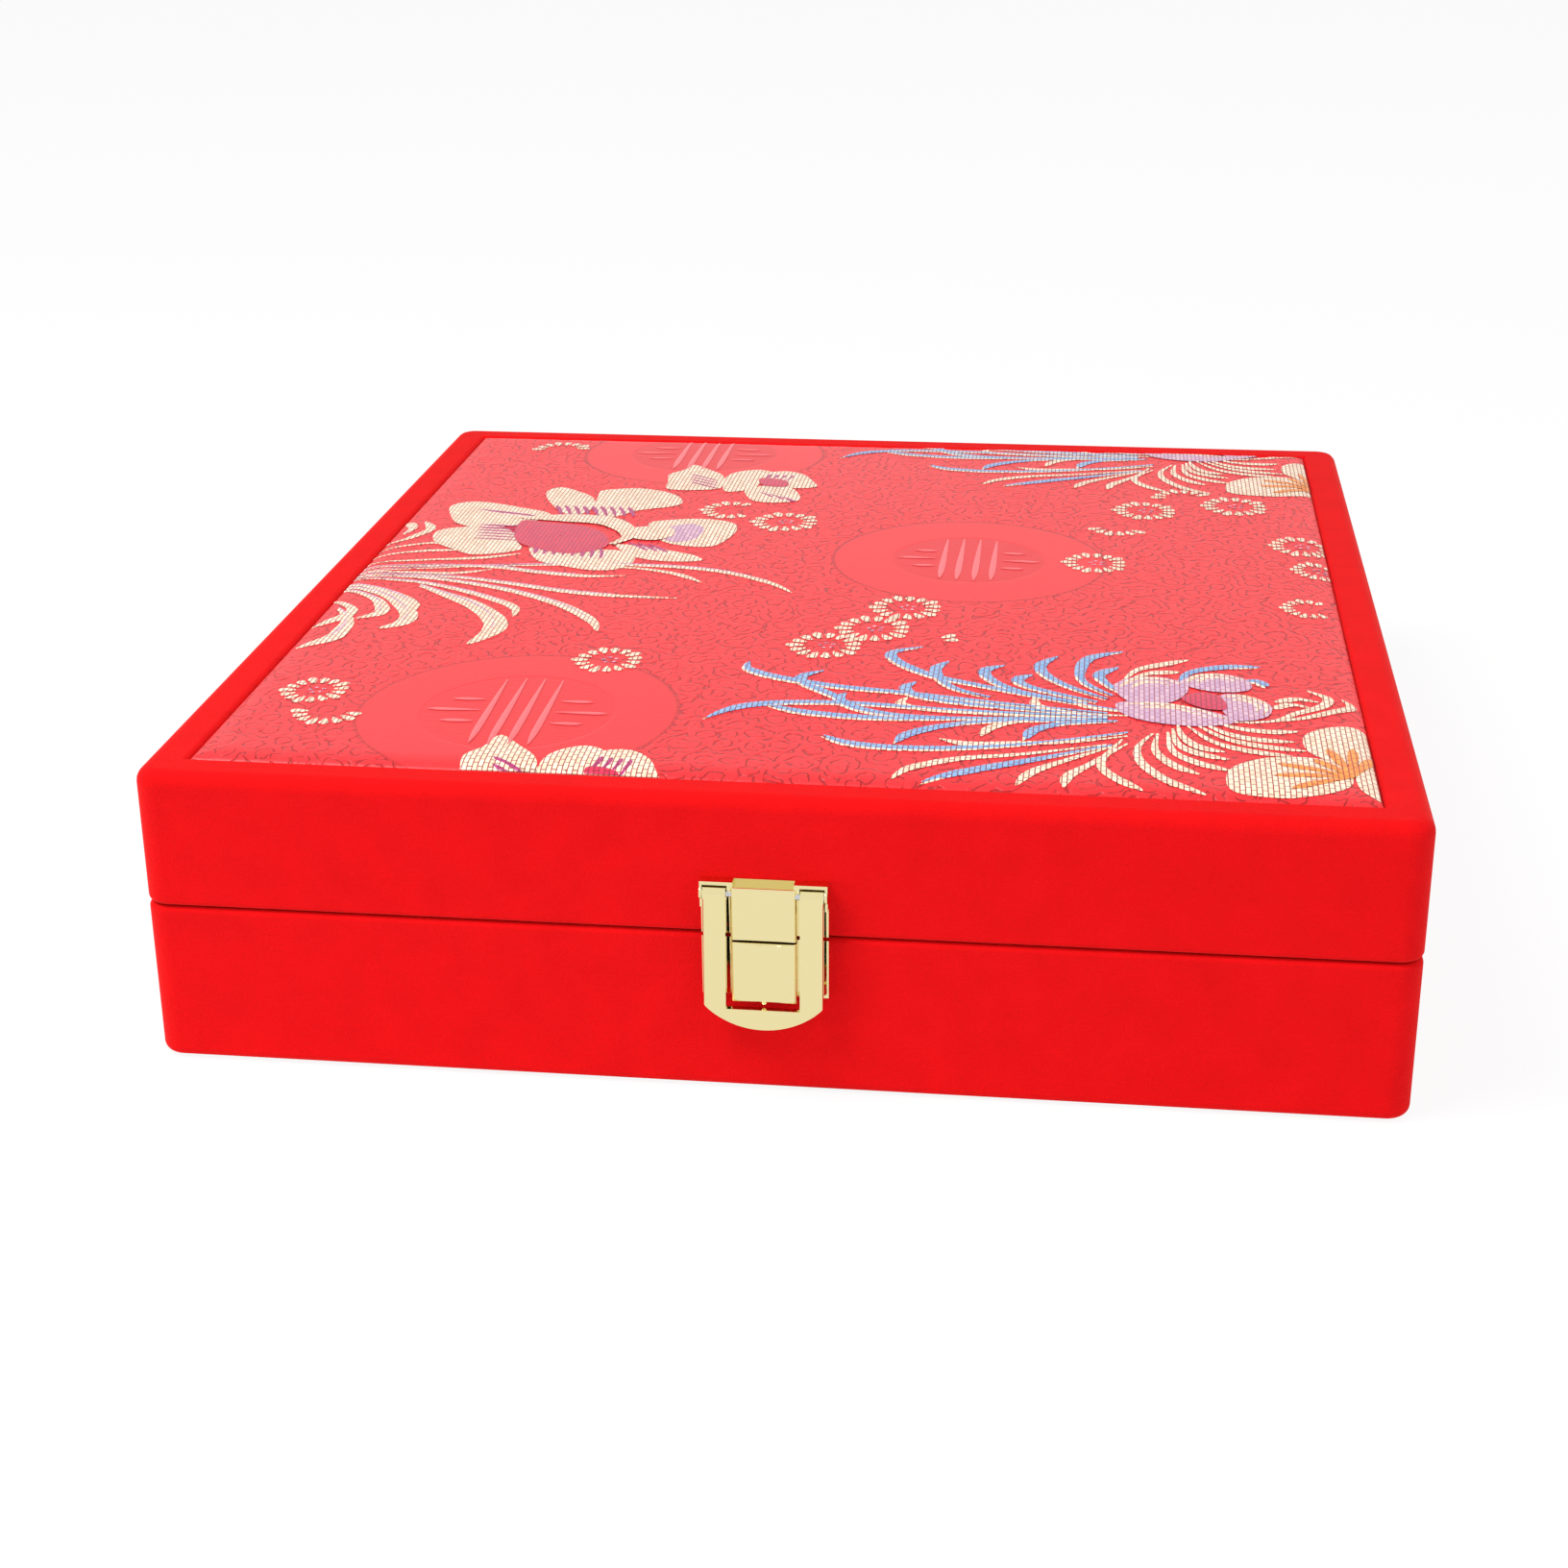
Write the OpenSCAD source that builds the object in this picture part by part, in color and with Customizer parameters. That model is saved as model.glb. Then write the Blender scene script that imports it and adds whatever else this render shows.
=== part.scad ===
// Presentation box: boards wrapped in velvet, padded brocade lid, bail latch, stop hinges.
// Millimetres. X runs along the width, +Y to the back, +Z up. The origin is the middle of
// the underside. The lid is shut, and the bail stands just off its catch.

/* [Box] */
// Width of the box over the velvet
box_w = 250; // [200:5:300]
// Depth of the box over the velvet, front to back
box_d = 270; // [210:5:320]
// Height of the base, from the table to the seam
base_h = 34; // [30:0.5:60]
// Height of the lid, from the seam to its velvet rim
lid_h = 28.5; // [25:0.5:45]
// Gap between base and lid at the seam
seam_gap = 0.3; // [0.2:0.1:0.6]
// Radius of the four upright corners
corner_r = 5; // [4:0.5:7]
// Radius of the lid's upper edge
top_edge_r = 3; // [2:0.5:3]
// Radius of the two edges that make the seam's groove
seam_edge_r = 1.2; // [1:0.1:1.5]
// Radius of the base's lower edge
foot_edge_r = 2; // [1.5:0.5:3]

/* [Boards and coverings] */
// Thickness of the fibreboard walls
wall_t = 5; // [4:0.5:6]
// Thickness of the bottom board and of the lid's top board
panel_t = 3; // [2:0.5:4]
// Thickness of the velvet with its paper back
velvet_t = 0.8; // [0.6:0.1:0.9]
// Thickness of the paper on the underside
paper_t = 0.4; // [0.2:0.1:0.5]
// Width of the velvet turned under the base
hem_w = 14; // [8:1:20]
// Depth of the velvet turned in over the edges of the walls
turn_in = 10; // [5:1:12]

/* [Brocade panel] */
// Width of the velvet rim round the panel
rim_w = 9; // [8:0.5:12]
// Thickness of the strips that raise the rim
rim_t = 3; // [2.5:0.5:4]
// Thickness of the card behind the foam
card_t = 1.5; // [1:0.5:2]
// Thickness of the brocade cloth
cloth_t = 0.5; // [0.4:0.1:0.7]
// Width of the cloth turned under the card
cloth_hem = 12; // [6:1:20]
// Rise of the padding over its rounded edge
pad_roll = 1.6; // [1:0.1:2]
// Further rise of the padding towards the middle
pad_crown = 2.2; // [1:0.1:4]

/* [Lining] */
// Thickness of the satin-covered lining boards
lining_t = 2; // [1.5:0.5:3]
// Height of the collar above the seam
collar_h = 4; // [2:0.5:5]
// Clearance between the collar and the lid
collar_gap = 0.4; // [0.3:0.1:0.6]
// Thickness of the floor cushion at its edge
floor_pad_t = 3; // [2:0.5:5]
// Thickness of the ceiling cushion at its edge
ceiling_pad_t = 2; // [1.5:0.5:3]

/* [Latch] */
// Width of the middle blocks
block_w = 12.8; // [10:0.2:14]
// How far the middle blocks stand out at their crown
block_proud = 3.2; // [3:0.1:3.3]
// Width of each leg of the bail
leg_w = 4.5; // [3.5:0.1:5]
// Thickness of the bail
bail_t = 1.6; // [1.4:0.1:1.6]
// Height of the bail's pin above the seam
pin_rise = 9.5; // [9:0.5:12]
// From the pin to the edge of the bail that catches
catch_reach = 23.45; // [22.95:0.1:24]
// From the pin to the lowest point of the bail
bail_reach = 27.6; // [27:0.1:28.5]
// Radius of the round lower end of the bail
bail_round_r = 16.4; // [15:0.2:20]
// How far the bail stands off its catch, in degrees
bail_rest = 3.2; // [3.2:0.1:6]

/* [Hinges] */
// From the middle of the box to the middle of each hinge
hinge_x = 70; // [50:5:80]
// Width of each hinge
hinge_w = 16; // [14:1:24]
// Radius of the knuckles
knuckle_r = 1.6; // [1.4:0.1:1.7]
// Opening angle at which the tails of the hinges meet
hinge_stop = 95; // [90:1:110]

/* [Hidden] */
$fn = 64;

// Colours
velvet_red = [0.92, 0.05, 0.07];
brocade_red = [0.93, 0.30, 0.31];
satin_gold = [0.90, 0.72, 0.38];
board_brown = [0.66, 0.52, 0.37];
card_grey = [0.62, 0.60, 0.57];
foam_white = [0.93, 0.92, 0.88];
paper_red = [0.55, 0.08, 0.09];
latch_gold = [0.88, 0.83, 0.60];
pin_steel = [0.80, 0.80, 0.80];

// Something to cut with reaches this far past the surface it cuts
past = 1;

// Levels, from the table up
board_z = paper_t + velvet_t;
floor_z = board_z + panel_t;
base_top = base_h - seam_gap / 2;
lid_foot = base_h + seam_gap / 2;
lid_top = base_h + lid_h;
frame_z = lid_top - velvet_t - rim_t;
ceiling_z = frame_z - panel_t;
collar_z = base_h + collar_h;
lid_lining_z = collar_z + 0.6;

// Plan sizes, from the outside in
core_w = box_w - 2 * velvet_t;
core_d = box_d - 2 * velvet_t;
core_r = corner_r - velvet_t;
well_w = core_w - 2 * wall_t;
well_d = core_d - 2 * wall_t;
lined_w = well_w - 2 * velvet_t;
lined_d = well_d - 2 * velvet_t;
collar_w = lined_w - 2 * collar_gap;
collar_d = lined_d - 2 * collar_gap;
recess_w = box_w - 2 * rim_w;
recess_d = box_d - 2 * rim_w;
recess_edge_r = 1.2;

// Cushions: outline and the rings that carry their height
pad_gap = 0.15;
pad_corner_r = 4;
pad_roll_w = 6;
corner_steps = 4;
side_steps = 8;
roll_insets = [0, 0.5, 1.6, 3.4, pad_roll_w];
field_shares = [0.15, 0.3, 0.5, 0.72, 0.9];
panel_w = recess_w - 2 * pad_gap;
panel_d = recess_d - 2 * pad_gap;
panel_edge_z = lid_top - 1;

// Latch, in its own frame: X along the box, Y outwards from the velvet, Z up
plate_t = 0.5;
plate_margin = 0.4;
pin_z = base_h + pin_rise;
pin_out = 2.1;
latch_pin_r = 0.7;
barrel_r = 1.5;
bore_clearance = 0.05;
block_gap = 0.8;
block_sag = 0.4;
block_edge_r = 0.6;
leg_in = block_w / 2 + block_gap;
leg_out = leg_in + leg_w;
leg_sag = 0.25;
leg_edge_r = 0.7;
ear_gap = 0.15;
ear_t = 0.5;
ear_in = leg_out + ear_gap;
latch_half_w = ear_in + ear_t;
ear_top = pin_z + barrel_r + 1;
ear_lip_t = 0.7;
ear_lip_out = 2.6;
ear_ring_r = 1.25;
ear_foot = pin_z - 3;
block_foot = base_h - 13.1;
nub_r = 0.6;
nub_out = 2.6;
scoop_depth = 1.6;
scoop_half_w = 7.9;
fixing_x = (leg_in + leg_out) / 2;
fixing_drop = 5.5;
fixing_len = 4.5;
fixing_r = 0.55;
fixing_head_r = 1.2;

// Hinges, in their own frame: X along the pin, Y outwards from the back, Z up from the seam
hinge_pin_r = 0.75;
hinge_axis_out = knuckle_r + 0.3;
leaf_t = 0.8;
leaf_depth = wall_t + velvet_t - 0.2;
middle_knuckle = 5.2;
knuckle_gap = 0.15;
tail_start = knuckle_r + 0.25;
tail_len = 3.35;
tail_angle = hinge_stop / 2 + 0.15;
screw_x = hinge_w / 2 - 3;
screw_len = 8;
screw_r = 0.6;
screw_head_r = 1.3;
screw_head_t = 0.6;

// Plain upright block, centred on the origin in plan.
module block(w, d, z0, z1) {
    translate([-w / 2, -d / 2, z0]) cube([w, d, z1 - z0]);
}

// Outer stretch of a block's section: w wide, edges rounded by r0 below and r1 above.
module edge_section(w, z0, z1, r0, r1) {
    intersection() {
        translate([0, z0]) square([w, z1 - z0]);
        union() {
            translate([0, z0 + r0]) square([w, z1 - z0 - r0 - r1]);
            translate([0, z0]) square([w - r0, r0]);
            translate([0, z1 - r1]) square([w - r1, r1]);
            translate([w - r0, z0 + r0]) circle(r0);
            translate([w - r1, z1 - r1]) circle(r1);
        }
    }
}

// Block with round upright corners r and with its edges rounded by r0 below and r1 above.
module soft_block(w, d, r, z0, z1, r0, r1) {
    block(w - 2 * r, d - 2 * r, z0, z1);
    for (turn = [0:3]) {
        out = turn % 2 == 0 ? w : d;
        along = turn % 2 == 0 ? d : w;
        rotate([0, 0, turn * 90]) {
            translate([out / 2 - r, 0, 0]) rotate([90, 0, 0])
                linear_extrude(along - 2 * r, center = true) edge_section(r, z0, z1, r0, r1);
            translate([out / 2 - r, along / 2 - r, 0])
                rotate_extrude(angle = 90) edge_section(r, z0, z1, r0, r1);
        }
    }
}

// Prism over one side of a frame between two rectangles, with mitred ends.
// turn is 0 for the right side, 1 for the back, 2 for the left and 3 for the front.
module mitred_side(turn, w, d, in_w, in_d, z0, z1) {
    out = (turn % 2 == 0 ? w : d) / 2;
    along = (turn % 2 == 0 ? d : w) / 2;
    in_out = (turn % 2 == 0 ? in_w : in_d) / 2;
    in_along = (turn % 2 == 0 ? in_d : in_w) / 2;
    rotate([0, 0, turn * 90]) translate([0, 0, z0]) linear_extrude(z1 - z0)
        polygon([[in_out, -in_along], [out, -along], [out, along], [in_out, in_along]]);
}

// The wrapped shapes and the boards inside them, before anything is cut.
module base_outside() {
    soft_block(box_w, box_d, corner_r, paper_t, base_top, foot_edge_r, seam_edge_r);
}

module base_core() {
    soft_block(core_w, core_d, core_r, board_z, base_top - velvet_t,
        foot_edge_r - velvet_t, seam_edge_r - velvet_t);
}

module lid_outside() {
    soft_block(box_w, box_d, corner_r, lid_foot, lid_top, seam_edge_r, top_edge_r);
}

module lid_core() {
    soft_block(core_w, core_d, core_r, lid_foot + velvet_t, lid_top - velvet_t,
        seam_edge_r - velvet_t, top_edge_r - velvet_t);
}

// Velvet turned in against the inside of the walls.
module turned_in(z0, z1) {
    difference() {
        block(well_w, well_d, z0, z1);
        block(lined_w, lined_d, z0 - past, z1 + past);
    }
}

// Rounds the inner edge of the rim round the brocade panel.
module recess_easing() {
    ease = recess_edge_r;
    for (turn = [0:3]) {
        out = (turn % 2 == 0 ? recess_w : recess_d) / 2;
        along = (turn % 2 == 0 ? recess_d : recess_w) + 2 * ease;
        intersection() {
            mitred_side(turn, recess_w + 2 * ease, recess_d + 2 * ease, recess_w, recess_d,
                lid_top - ease, lid_top + past);
            rotate([0, 0, turn * 90]) translate([out, 0, lid_top - ease]) rotate([90, 0, 0])
                linear_extrude(along, center = true) difference() {
                    square([ease, ease + past]);
                    translate([ease, 0]) circle(ease);
                }
        }
    }
}

// Walls of the base
module base_wall(turn) {
    color(board_brown) difference() {
        intersection() {
            base_core();
            mitred_side(turn, box_w, box_d, well_w, well_d, board_z, base_top);
        }
        catch_fixing_shapes();
        hinge_screw_shapes(false);
    }
}

module base_front_wall() { base_wall(3); }
module base_back_wall() { base_wall(1); }
module base_left_wall() { base_wall(2); }
module base_right_wall() { base_wall(0); }

module base_bottom_board() {
    color(board_brown) block(well_w, well_d, board_z, floor_z);
}

// Velvet of the base: over the outside and the top edges, turned in and turned under.
module base_velvet() {
    color(velvet_red) difference() {
        union() {
            difference() {
                base_outside();
                base_core();
            }
            turned_in(base_top - turn_in, base_top);
        }
        block(lined_w, lined_d, floor_z, base_h);
        block(box_w - 2 * hem_w, box_d - 2 * hem_w, 0, board_z);
        leaf_pockets();
        catch_fixing_shapes();
    }
}

module base_paper() {
    margin = foot_edge_r + 1;
    color(paper_red) block(box_w - 2 * margin, box_d - 2 * margin, 0, paper_t);
}

// Lining boards, front and back full width and the sides between them.
module lining_board(turn, w, d, z0, z1) {
    front = turn % 2 == 1;
    out = (front ? d : w) / 2;
    len = front ? w : d - 2 * lining_t;
    rotate([0, 0, turn * 90]) translate([out - lining_t, -len / 2, z0])
        cube([lining_t, len, z1 - z0]);
}

module collar_board(turn) {
    color(satin_gold) lining_board(turn, collar_w, collar_d, floor_z, collar_z);
}

module collar_front() { collar_board(3); }
module collar_back() { collar_board(1); }
module collar_left() { collar_board(2); }
module collar_right() { collar_board(0); }

// Cushion outline, counter-clockwise: round corners and divided straight sides.
function cushion_outline(w, d) = [
    for (c = [0:3])
        let (
            sx = c == 0 || c == 3 ? 1 : -1,
            sy = c < 2 ? 1 : -1,
            nx = c % 2 == 0 ? -sx : sx,
            ny = c % 2 == 0 ? sy : -sy,
            centre = [sx * (w / 2 - pad_corner_r), sy * (d / 2 - pad_corner_r)],
            last = centre + pad_corner_r * [cos(90 + c * 90), sin(90 + c * 90)],
            next = [nx * (w / 2 - pad_corner_r), ny * (d / 2 - pad_corner_r)]
                + pad_corner_r * [cos(90 + c * 90), sin(90 + c * 90)]
        )
        each concat(
            [for (k = [0:corner_steps]) let (a = c * 90 + k * 90 / corner_steps)
                centre + pad_corner_r * [cos(a), sin(a)]],
            [for (k = [1:side_steps - 1]) last + (next - last) * k / side_steps]
        )
];

// Height of the rounded edge at a distance from the outline.
function roll_height(inset, roll) =
    roll * sqrt(1 - pow(1 - min(inset / pad_roll_w, 1), 2));

// Closed cushion with a flat underside, a rounded edge and a crowned top.
module cushion(w, d, z0, edge_z, roll, crown) {
    outline = cushion_outline(w, d);
    n = len(outline);
    half = min(w, d) / 2;
    insets = concat(roll_insets, [for (s = field_shares) pad_roll_w + (half - pad_roll_w) * s]);
    rings = len(insets) + 1;
    rings_of_points = concat(
        [for (p = outline) [p.x, p.y, z0]],
        [for (s = insets) for (p = outline)
            let (x = p.x * (1 - 2 * s / w), y = p.y * (1 - 2 * s / d))
            [x, y, edge_z + roll_height(s, roll)
                + crown * (1 - pow(2 * x / w, 2)) * (1 - pow(2 * y / d, 2))]]
    );
    points = concat(rings_of_points, [[0, 0, z0], [0, 0, edge_z + roll + crown]]);
    faces = concat(
        [for (i = [0:rings - 2]) for (j = [0:n - 1])
            let (a = i * n + j, b = i * n + (j + 1) % n)
            each [[a, a + n, b + n], [a, b + n, b]]],
        [for (j = [0:n - 1]) [rings * n, j, (j + 1) % n]],
        [for (j = [0:n - 1]) [rings * n + 1, (rings - 1) * n + (j + 1) % n, (rings - 1) * n + j]]
    );
    polyhedron(points, faces);
}

module floor_cushion() {
    inside = 2 * (lining_t + pad_gap);
    color(satin_gold) cushion(collar_w - inside, collar_d - inside,
        floor_z, floor_z + floor_pad_t, 1.4, 1.5);
}

// Lid boards
module lid_wall(turn) {
    color(board_brown) difference() {
        intersection() {
            lid_core();
            mitred_side(turn, box_w, box_d, well_w, well_d, lid_foot, ceiling_z);
        }
        latch_fixing_shapes();
        hinge_screw_shapes(true);
    }
}

module lid_front_wall() { lid_wall(3); }
module lid_back_wall() { lid_wall(1); }
module lid_left_wall() { lid_wall(2); }
module lid_right_wall() { lid_wall(0); }

module lid_top_board() {
    color(board_brown) intersection() {
        lid_core();
        block(box_w, box_d, ceiling_z, frame_z);
    }
}

// One of the four mitred strips that raise the rim and frame the brocade panel.
module rim_strip(turn) {
    color(card_grey) intersection() {
        lid_core();
        mitred_side(turn, box_w, box_d, recess_w + 2 * velvet_t, recess_d + 2 * velvet_t,
            frame_z, lid_top);
    }
}

module rim_strip_front() { rim_strip(3); }
module rim_strip_back() { rim_strip(1); }
module rim_strip_left() { rim_strip(2); }
module rim_strip_right() { rim_strip(0); }

// Velvet of the lid: outside, rim, down into the recess and in over the lower edges.
module lid_velvet() {
    color(velvet_red) difference() {
        union() {
            difference() {
                lid_outside();
                lid_core();
            }
            block(recess_w + 2 * velvet_t, recess_d + 2 * velvet_t, frame_z, lid_top);
            turned_in(lid_foot, lid_foot + turn_in);
        }
        block(recess_w, recess_d, frame_z - past, lid_top + past);
        block(lined_w, lined_d, base_h, ceiling_z);
        recess_easing();
        leaf_pockets();
        latch_fixing_shapes();
    }
}

// Brocade panel: card, foam and the cloth drawn over both and turned under.
module panel_card() {
    inside = 2 * cloth_t;
    color(card_grey) block(panel_w - inside - 2, panel_d - inside - 2,
        frame_z + cloth_t, frame_z + cloth_t + card_t);
}

module panel_foam() {
    inside = 2 * cloth_t;
    color(foam_white) cushion(panel_w - inside, panel_d - inside,
        frame_z + cloth_t + card_t, panel_edge_z - cloth_t, pad_roll, pad_crown);
}

module brocade_cloth() {
    inside = 2 * cloth_t;
    open = 2 * (cloth_t + cloth_hem);
    color(brocade_red) difference() {
        cushion(panel_w, panel_d, frame_z, panel_edge_z, pad_roll, pad_crown);
        cushion(panel_w - inside, panel_d - inside, frame_z + cloth_t, panel_edge_z - cloth_t,
            pad_roll, pad_crown);
        block(panel_w - open, panel_d - open, frame_z - past, frame_z + 2 * cloth_t);
    }
}

// Lining of the lid
module lid_lining_board(turn) {
    color(satin_gold) lining_board(turn, lined_w, lined_d, lid_lining_z, ceiling_z);
}

module lid_lining_front() { lid_lining_board(3); }
module lid_lining_back() { lid_lining_board(1); }
module lid_lining_left() { lid_lining_board(2); }
module lid_lining_right() { lid_lining_board(0); }

module ceiling_cushion() {
    inside = 2 * (lining_t + pad_gap);
    color(satin_gold) translate([0, 0, ceiling_z]) mirror([0, 0, 1])
        cushion(lined_w - inside, lined_d - inside, 0, ceiling_pad_t, 1.4, 1.2);
}

// Puts a latch piece on the front of the box.
module on_front() {
    translate([0, -box_d / 2, 0]) rotate([0, 0, 180]) children();
}

// Section w wide and h high whose face bulges by sag between rounded edges of radius r.
module crowned_section(w, h, sag, r) {
    big_r = (pow(w / 2, 2) + pow(sag, 2)) / (2 * sag);
    edge_x = w / 2 - r;
    edge_y = h - big_r + sqrt(pow(big_r - r, 2) - pow(edge_x, 2));
    touch_x = edge_x * big_r / (big_r - r);
    translate([-w / 2, 0]) square([w, edge_y]);
    intersection() {
        translate([0, h - big_r]) circle(big_r, $fn = 180);
        translate([-touch_x, 0]) square([2 * touch_x, h]);
    }
    for (side = [-1, 1]) translate([side * edge_x, edge_y]) circle(r);
}

// Middle block of a latch half, crowned across and with its ends eased.
module latch_block(z0, z1) {
    intersection() {
        translate([0, 0, z0]) linear_extrude(z1 - z0)
            crowned_section(block_w, block_proud, block_sag, block_edge_r);
        rotate([90, 0, 90]) linear_extrude(block_w + past, center = true)
            union() {
                translate([0, z0]) square([block_proud - block_edge_r, z1 - z0]);
                translate([0, z0 + block_edge_r])
                    square([block_proud, z1 - z0 - 2 * block_edge_r]);
                for (z = [z0 + block_edge_r, z1 - block_edge_r])
                    translate([block_proud - block_edge_r, z]) circle(block_edge_r);
            }
    }
}

module latch_back_plate(z0, z1) {
    translate([-latch_half_w, 0, z0]) cube([2 * latch_half_w, plate_t, z1 - z0]);
}

// Ear beside one leg of the bail: lip over the barrel, inner stub and outer wall.
module latch_ear() {
    lip_z = ear_top - ear_lip_t;
    translate([block_w / 2, 0, lip_z])
        cube([latch_half_w - block_w / 2, ear_lip_out, ear_lip_t]);
    translate([block_w / 2 - past / 2, 0, pin_z + latch_pin_r])
        cube([past / 2 + block_gap - 0.2, ear_lip_out, ear_top - pin_z - latch_pin_r]);
    translate([ear_in, 0, 0]) rotate([90, 0, 90]) linear_extrude(ear_t) {
        translate([0, ear_foot]) square([pin_out, ear_top - ear_foot]);
        translate([0, pin_z]) square([ear_lip_out, ear_top - pin_z]);
        translate([pin_out, pin_z]) circle(ear_ring_r);
    }
}

module latch_pin_shape(r, half_len) {
    translate([0, pin_out, pin_z]) rotate([0, 90, 0])
        cylinder(r = r, h = 2 * half_len, center = true);
}

// Shanks and round heads of the fixings at one height.
module fixing_pair(z) {
    for (side = [-1, 1]) translate([side * fixing_x, 0, z]) rotate([-90, 0, 0]) {
        translate([0, 0, -fixing_len]) cylinder(r = fixing_r, h = fixing_len + plate_t);
        translate([0, 0, plate_t]) cylinder(r1 = fixing_head_r, r2 = fixing_r, h = 0.5);
    }
}

module catch_fixing_shapes() { on_front() fixing_pair(base_h - fixing_drop); }
module latch_fixing_shapes() { on_front() fixing_pair(base_h + fixing_drop); }

module latch_plate() {
    color(latch_gold) difference() {
        on_front() difference() {
            union() {
                latch_back_plate(base_h + plate_margin, ear_top);
                latch_block(base_h, pin_z + barrel_r);
                for (side = [0, 1]) mirror([side, 0, 0]) latch_ear();
            }
            latch_pin_shape(latch_pin_r, latch_half_w + past);
        }
        latch_fixing_shapes();
    }
}

module catch_plate() {
    color(latch_gold) difference() {
        on_front() {
            latch_back_plate(block_foot + plate_margin, base_h - plate_margin);
            latch_block(block_foot, base_h - plate_margin);
            translate([0, nub_out, block_foot]) sphere(nub_r);
        }
        catch_fixing_shapes();
    }
}

module latch_pin() {
    color(pin_steel) on_front() latch_pin_shape(latch_pin_r, latch_half_w);
}

module latch_fixings() { color(latch_gold) latch_fixing_shapes(); }
module catch_fixings() { color(latch_gold) catch_fixing_shapes(); }

// Bail hanging straight down from its pin, which is the origin here.
module hanging_bail() {
    back = barrel_r - bail_t;
    straight = bail_reach - bail_round_r + sqrt(pow(bail_round_r, 2) - pow(leg_out, 2));
    scoop_slope = atan(scoop_depth / bail_t);
    scoop_arc_r = (pow(scoop_half_w, 2) + pow(scoop_depth, 2)) / (2 * scoop_depth);
    scoop_r = scoop_arc_r / cos(scoop_slope);
    difference() {
        union() {
            intersection() {
                rotate([90, 0, 0]) translate([0, 0, -barrel_r]) linear_extrude(bail_t) {
                    translate([-leg_out, -straight]) square([2 * leg_out, straight]);
                    intersection() {
                        translate([0, bail_round_r - bail_reach]) circle(bail_round_r);
                        translate([-leg_out, -bail_reach])
                            square([2 * leg_out, bail_reach - straight]);
                    }
                }
                translate([0, back, -bail_reach]) linear_extrude(bail_reach) {
                    for (side = [-1, 1]) translate([side * (leg_in + leg_out) / 2, 0])
                        crowned_section(leg_w, bail_t, leg_sag, leg_edge_r);
                    translate([-leg_in - leg_w / 2, 0])
                        square([2 * leg_in + leg_w, bail_t - 0.02]);
                }
            }
            for (side = [-1, 1]) translate([side * (leg_in + leg_out) / 2, 0, 0])
                rotate([0, 90, 0]) cylinder(r = barrel_r, h = leg_w, center = true);
        }
        translate([-leg_in, -barrel_r - past, -catch_reach])
            cube([2 * leg_in, 2 * (barrel_r + past), catch_reach + 2 * barrel_r]);
        intersection() {
            translate([-leg_out, back, -catch_reach - scoop_depth - past])
                cube([2 * leg_out, bail_t + past, scoop_depth + past + 0.1]);
            translate([0, back, -catch_reach]) rotate([90 + scoop_slope, 0, 0])
                translate([0, scoop_r, 0]) cylinder(r = scoop_r, h = 20, center = true);
        }
        rotate([0, 90, 0])
            cylinder(r = latch_pin_r + bore_clearance, h = 2 * leg_out + past, center = true);
    }
}

module bail() {
    color(latch_gold) on_front() translate([0, pin_out, pin_z]) rotate([bail_rest, 0, 0])
        hanging_bail();
}

// Puts a hinge piece at the back of the box, on the side given.
module on_back(side) {
    translate([side * hinge_x, box_d / 2 + hinge_axis_out, base_h]) children();
}

// Countersunk screws of one leaf, driven away from the seam.
module leaf_screws() {
    for (side = [-1, 1])
        translate([side * screw_x, -hinge_axis_out - velvet_t - wall_t / 2, 0]) {
            translate([0, 0, -seam_gap / 2 - screw_len]) cylinder(r = screw_r, h = screw_len);
            translate([0, 0, -seam_gap / 2 - screw_head_t])
                cylinder(r1 = screw_r, r2 = screw_head_r, h = screw_head_t);
        }
}

// upper turns a lower leaf's shape into an upper leaf's.
module turned_up(upper) { mirror([0, 0, upper ? 1 : 0]) children(); }

module hinge_screw_shapes(upper) {
    for (side = [-1, 1]) on_back(side) turned_up(upper) leaf_screws();
}

module leaf_pockets() {
    for (side = [-1, 1]) on_back(side)
        translate([-hinge_w / 2, -hinge_axis_out - leaf_depth, -seam_gap / 2 - leaf_t])
            cube([hinge_w, leaf_depth + past, seam_gap + 2 * leaf_t]);
}

// Stretches of the hinge's width that belong to one leaf's knuckles.
module knuckle_stretches(upper, y0, y1, z0, z1) {
    side_x = middle_knuckle / 2 + knuckle_gap;
    side_w = hinge_w / 2 - side_x;
    if (upper)
        for (x = [-hinge_w / 2, side_x]) translate([x, y0, z0]) cube([side_w, y1 - y0, z1 - z0]);
    else
        translate([-middle_knuckle / 2, y0, z0]) cube([middle_knuckle, y1 - y0, z1 - z0]);
}

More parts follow.
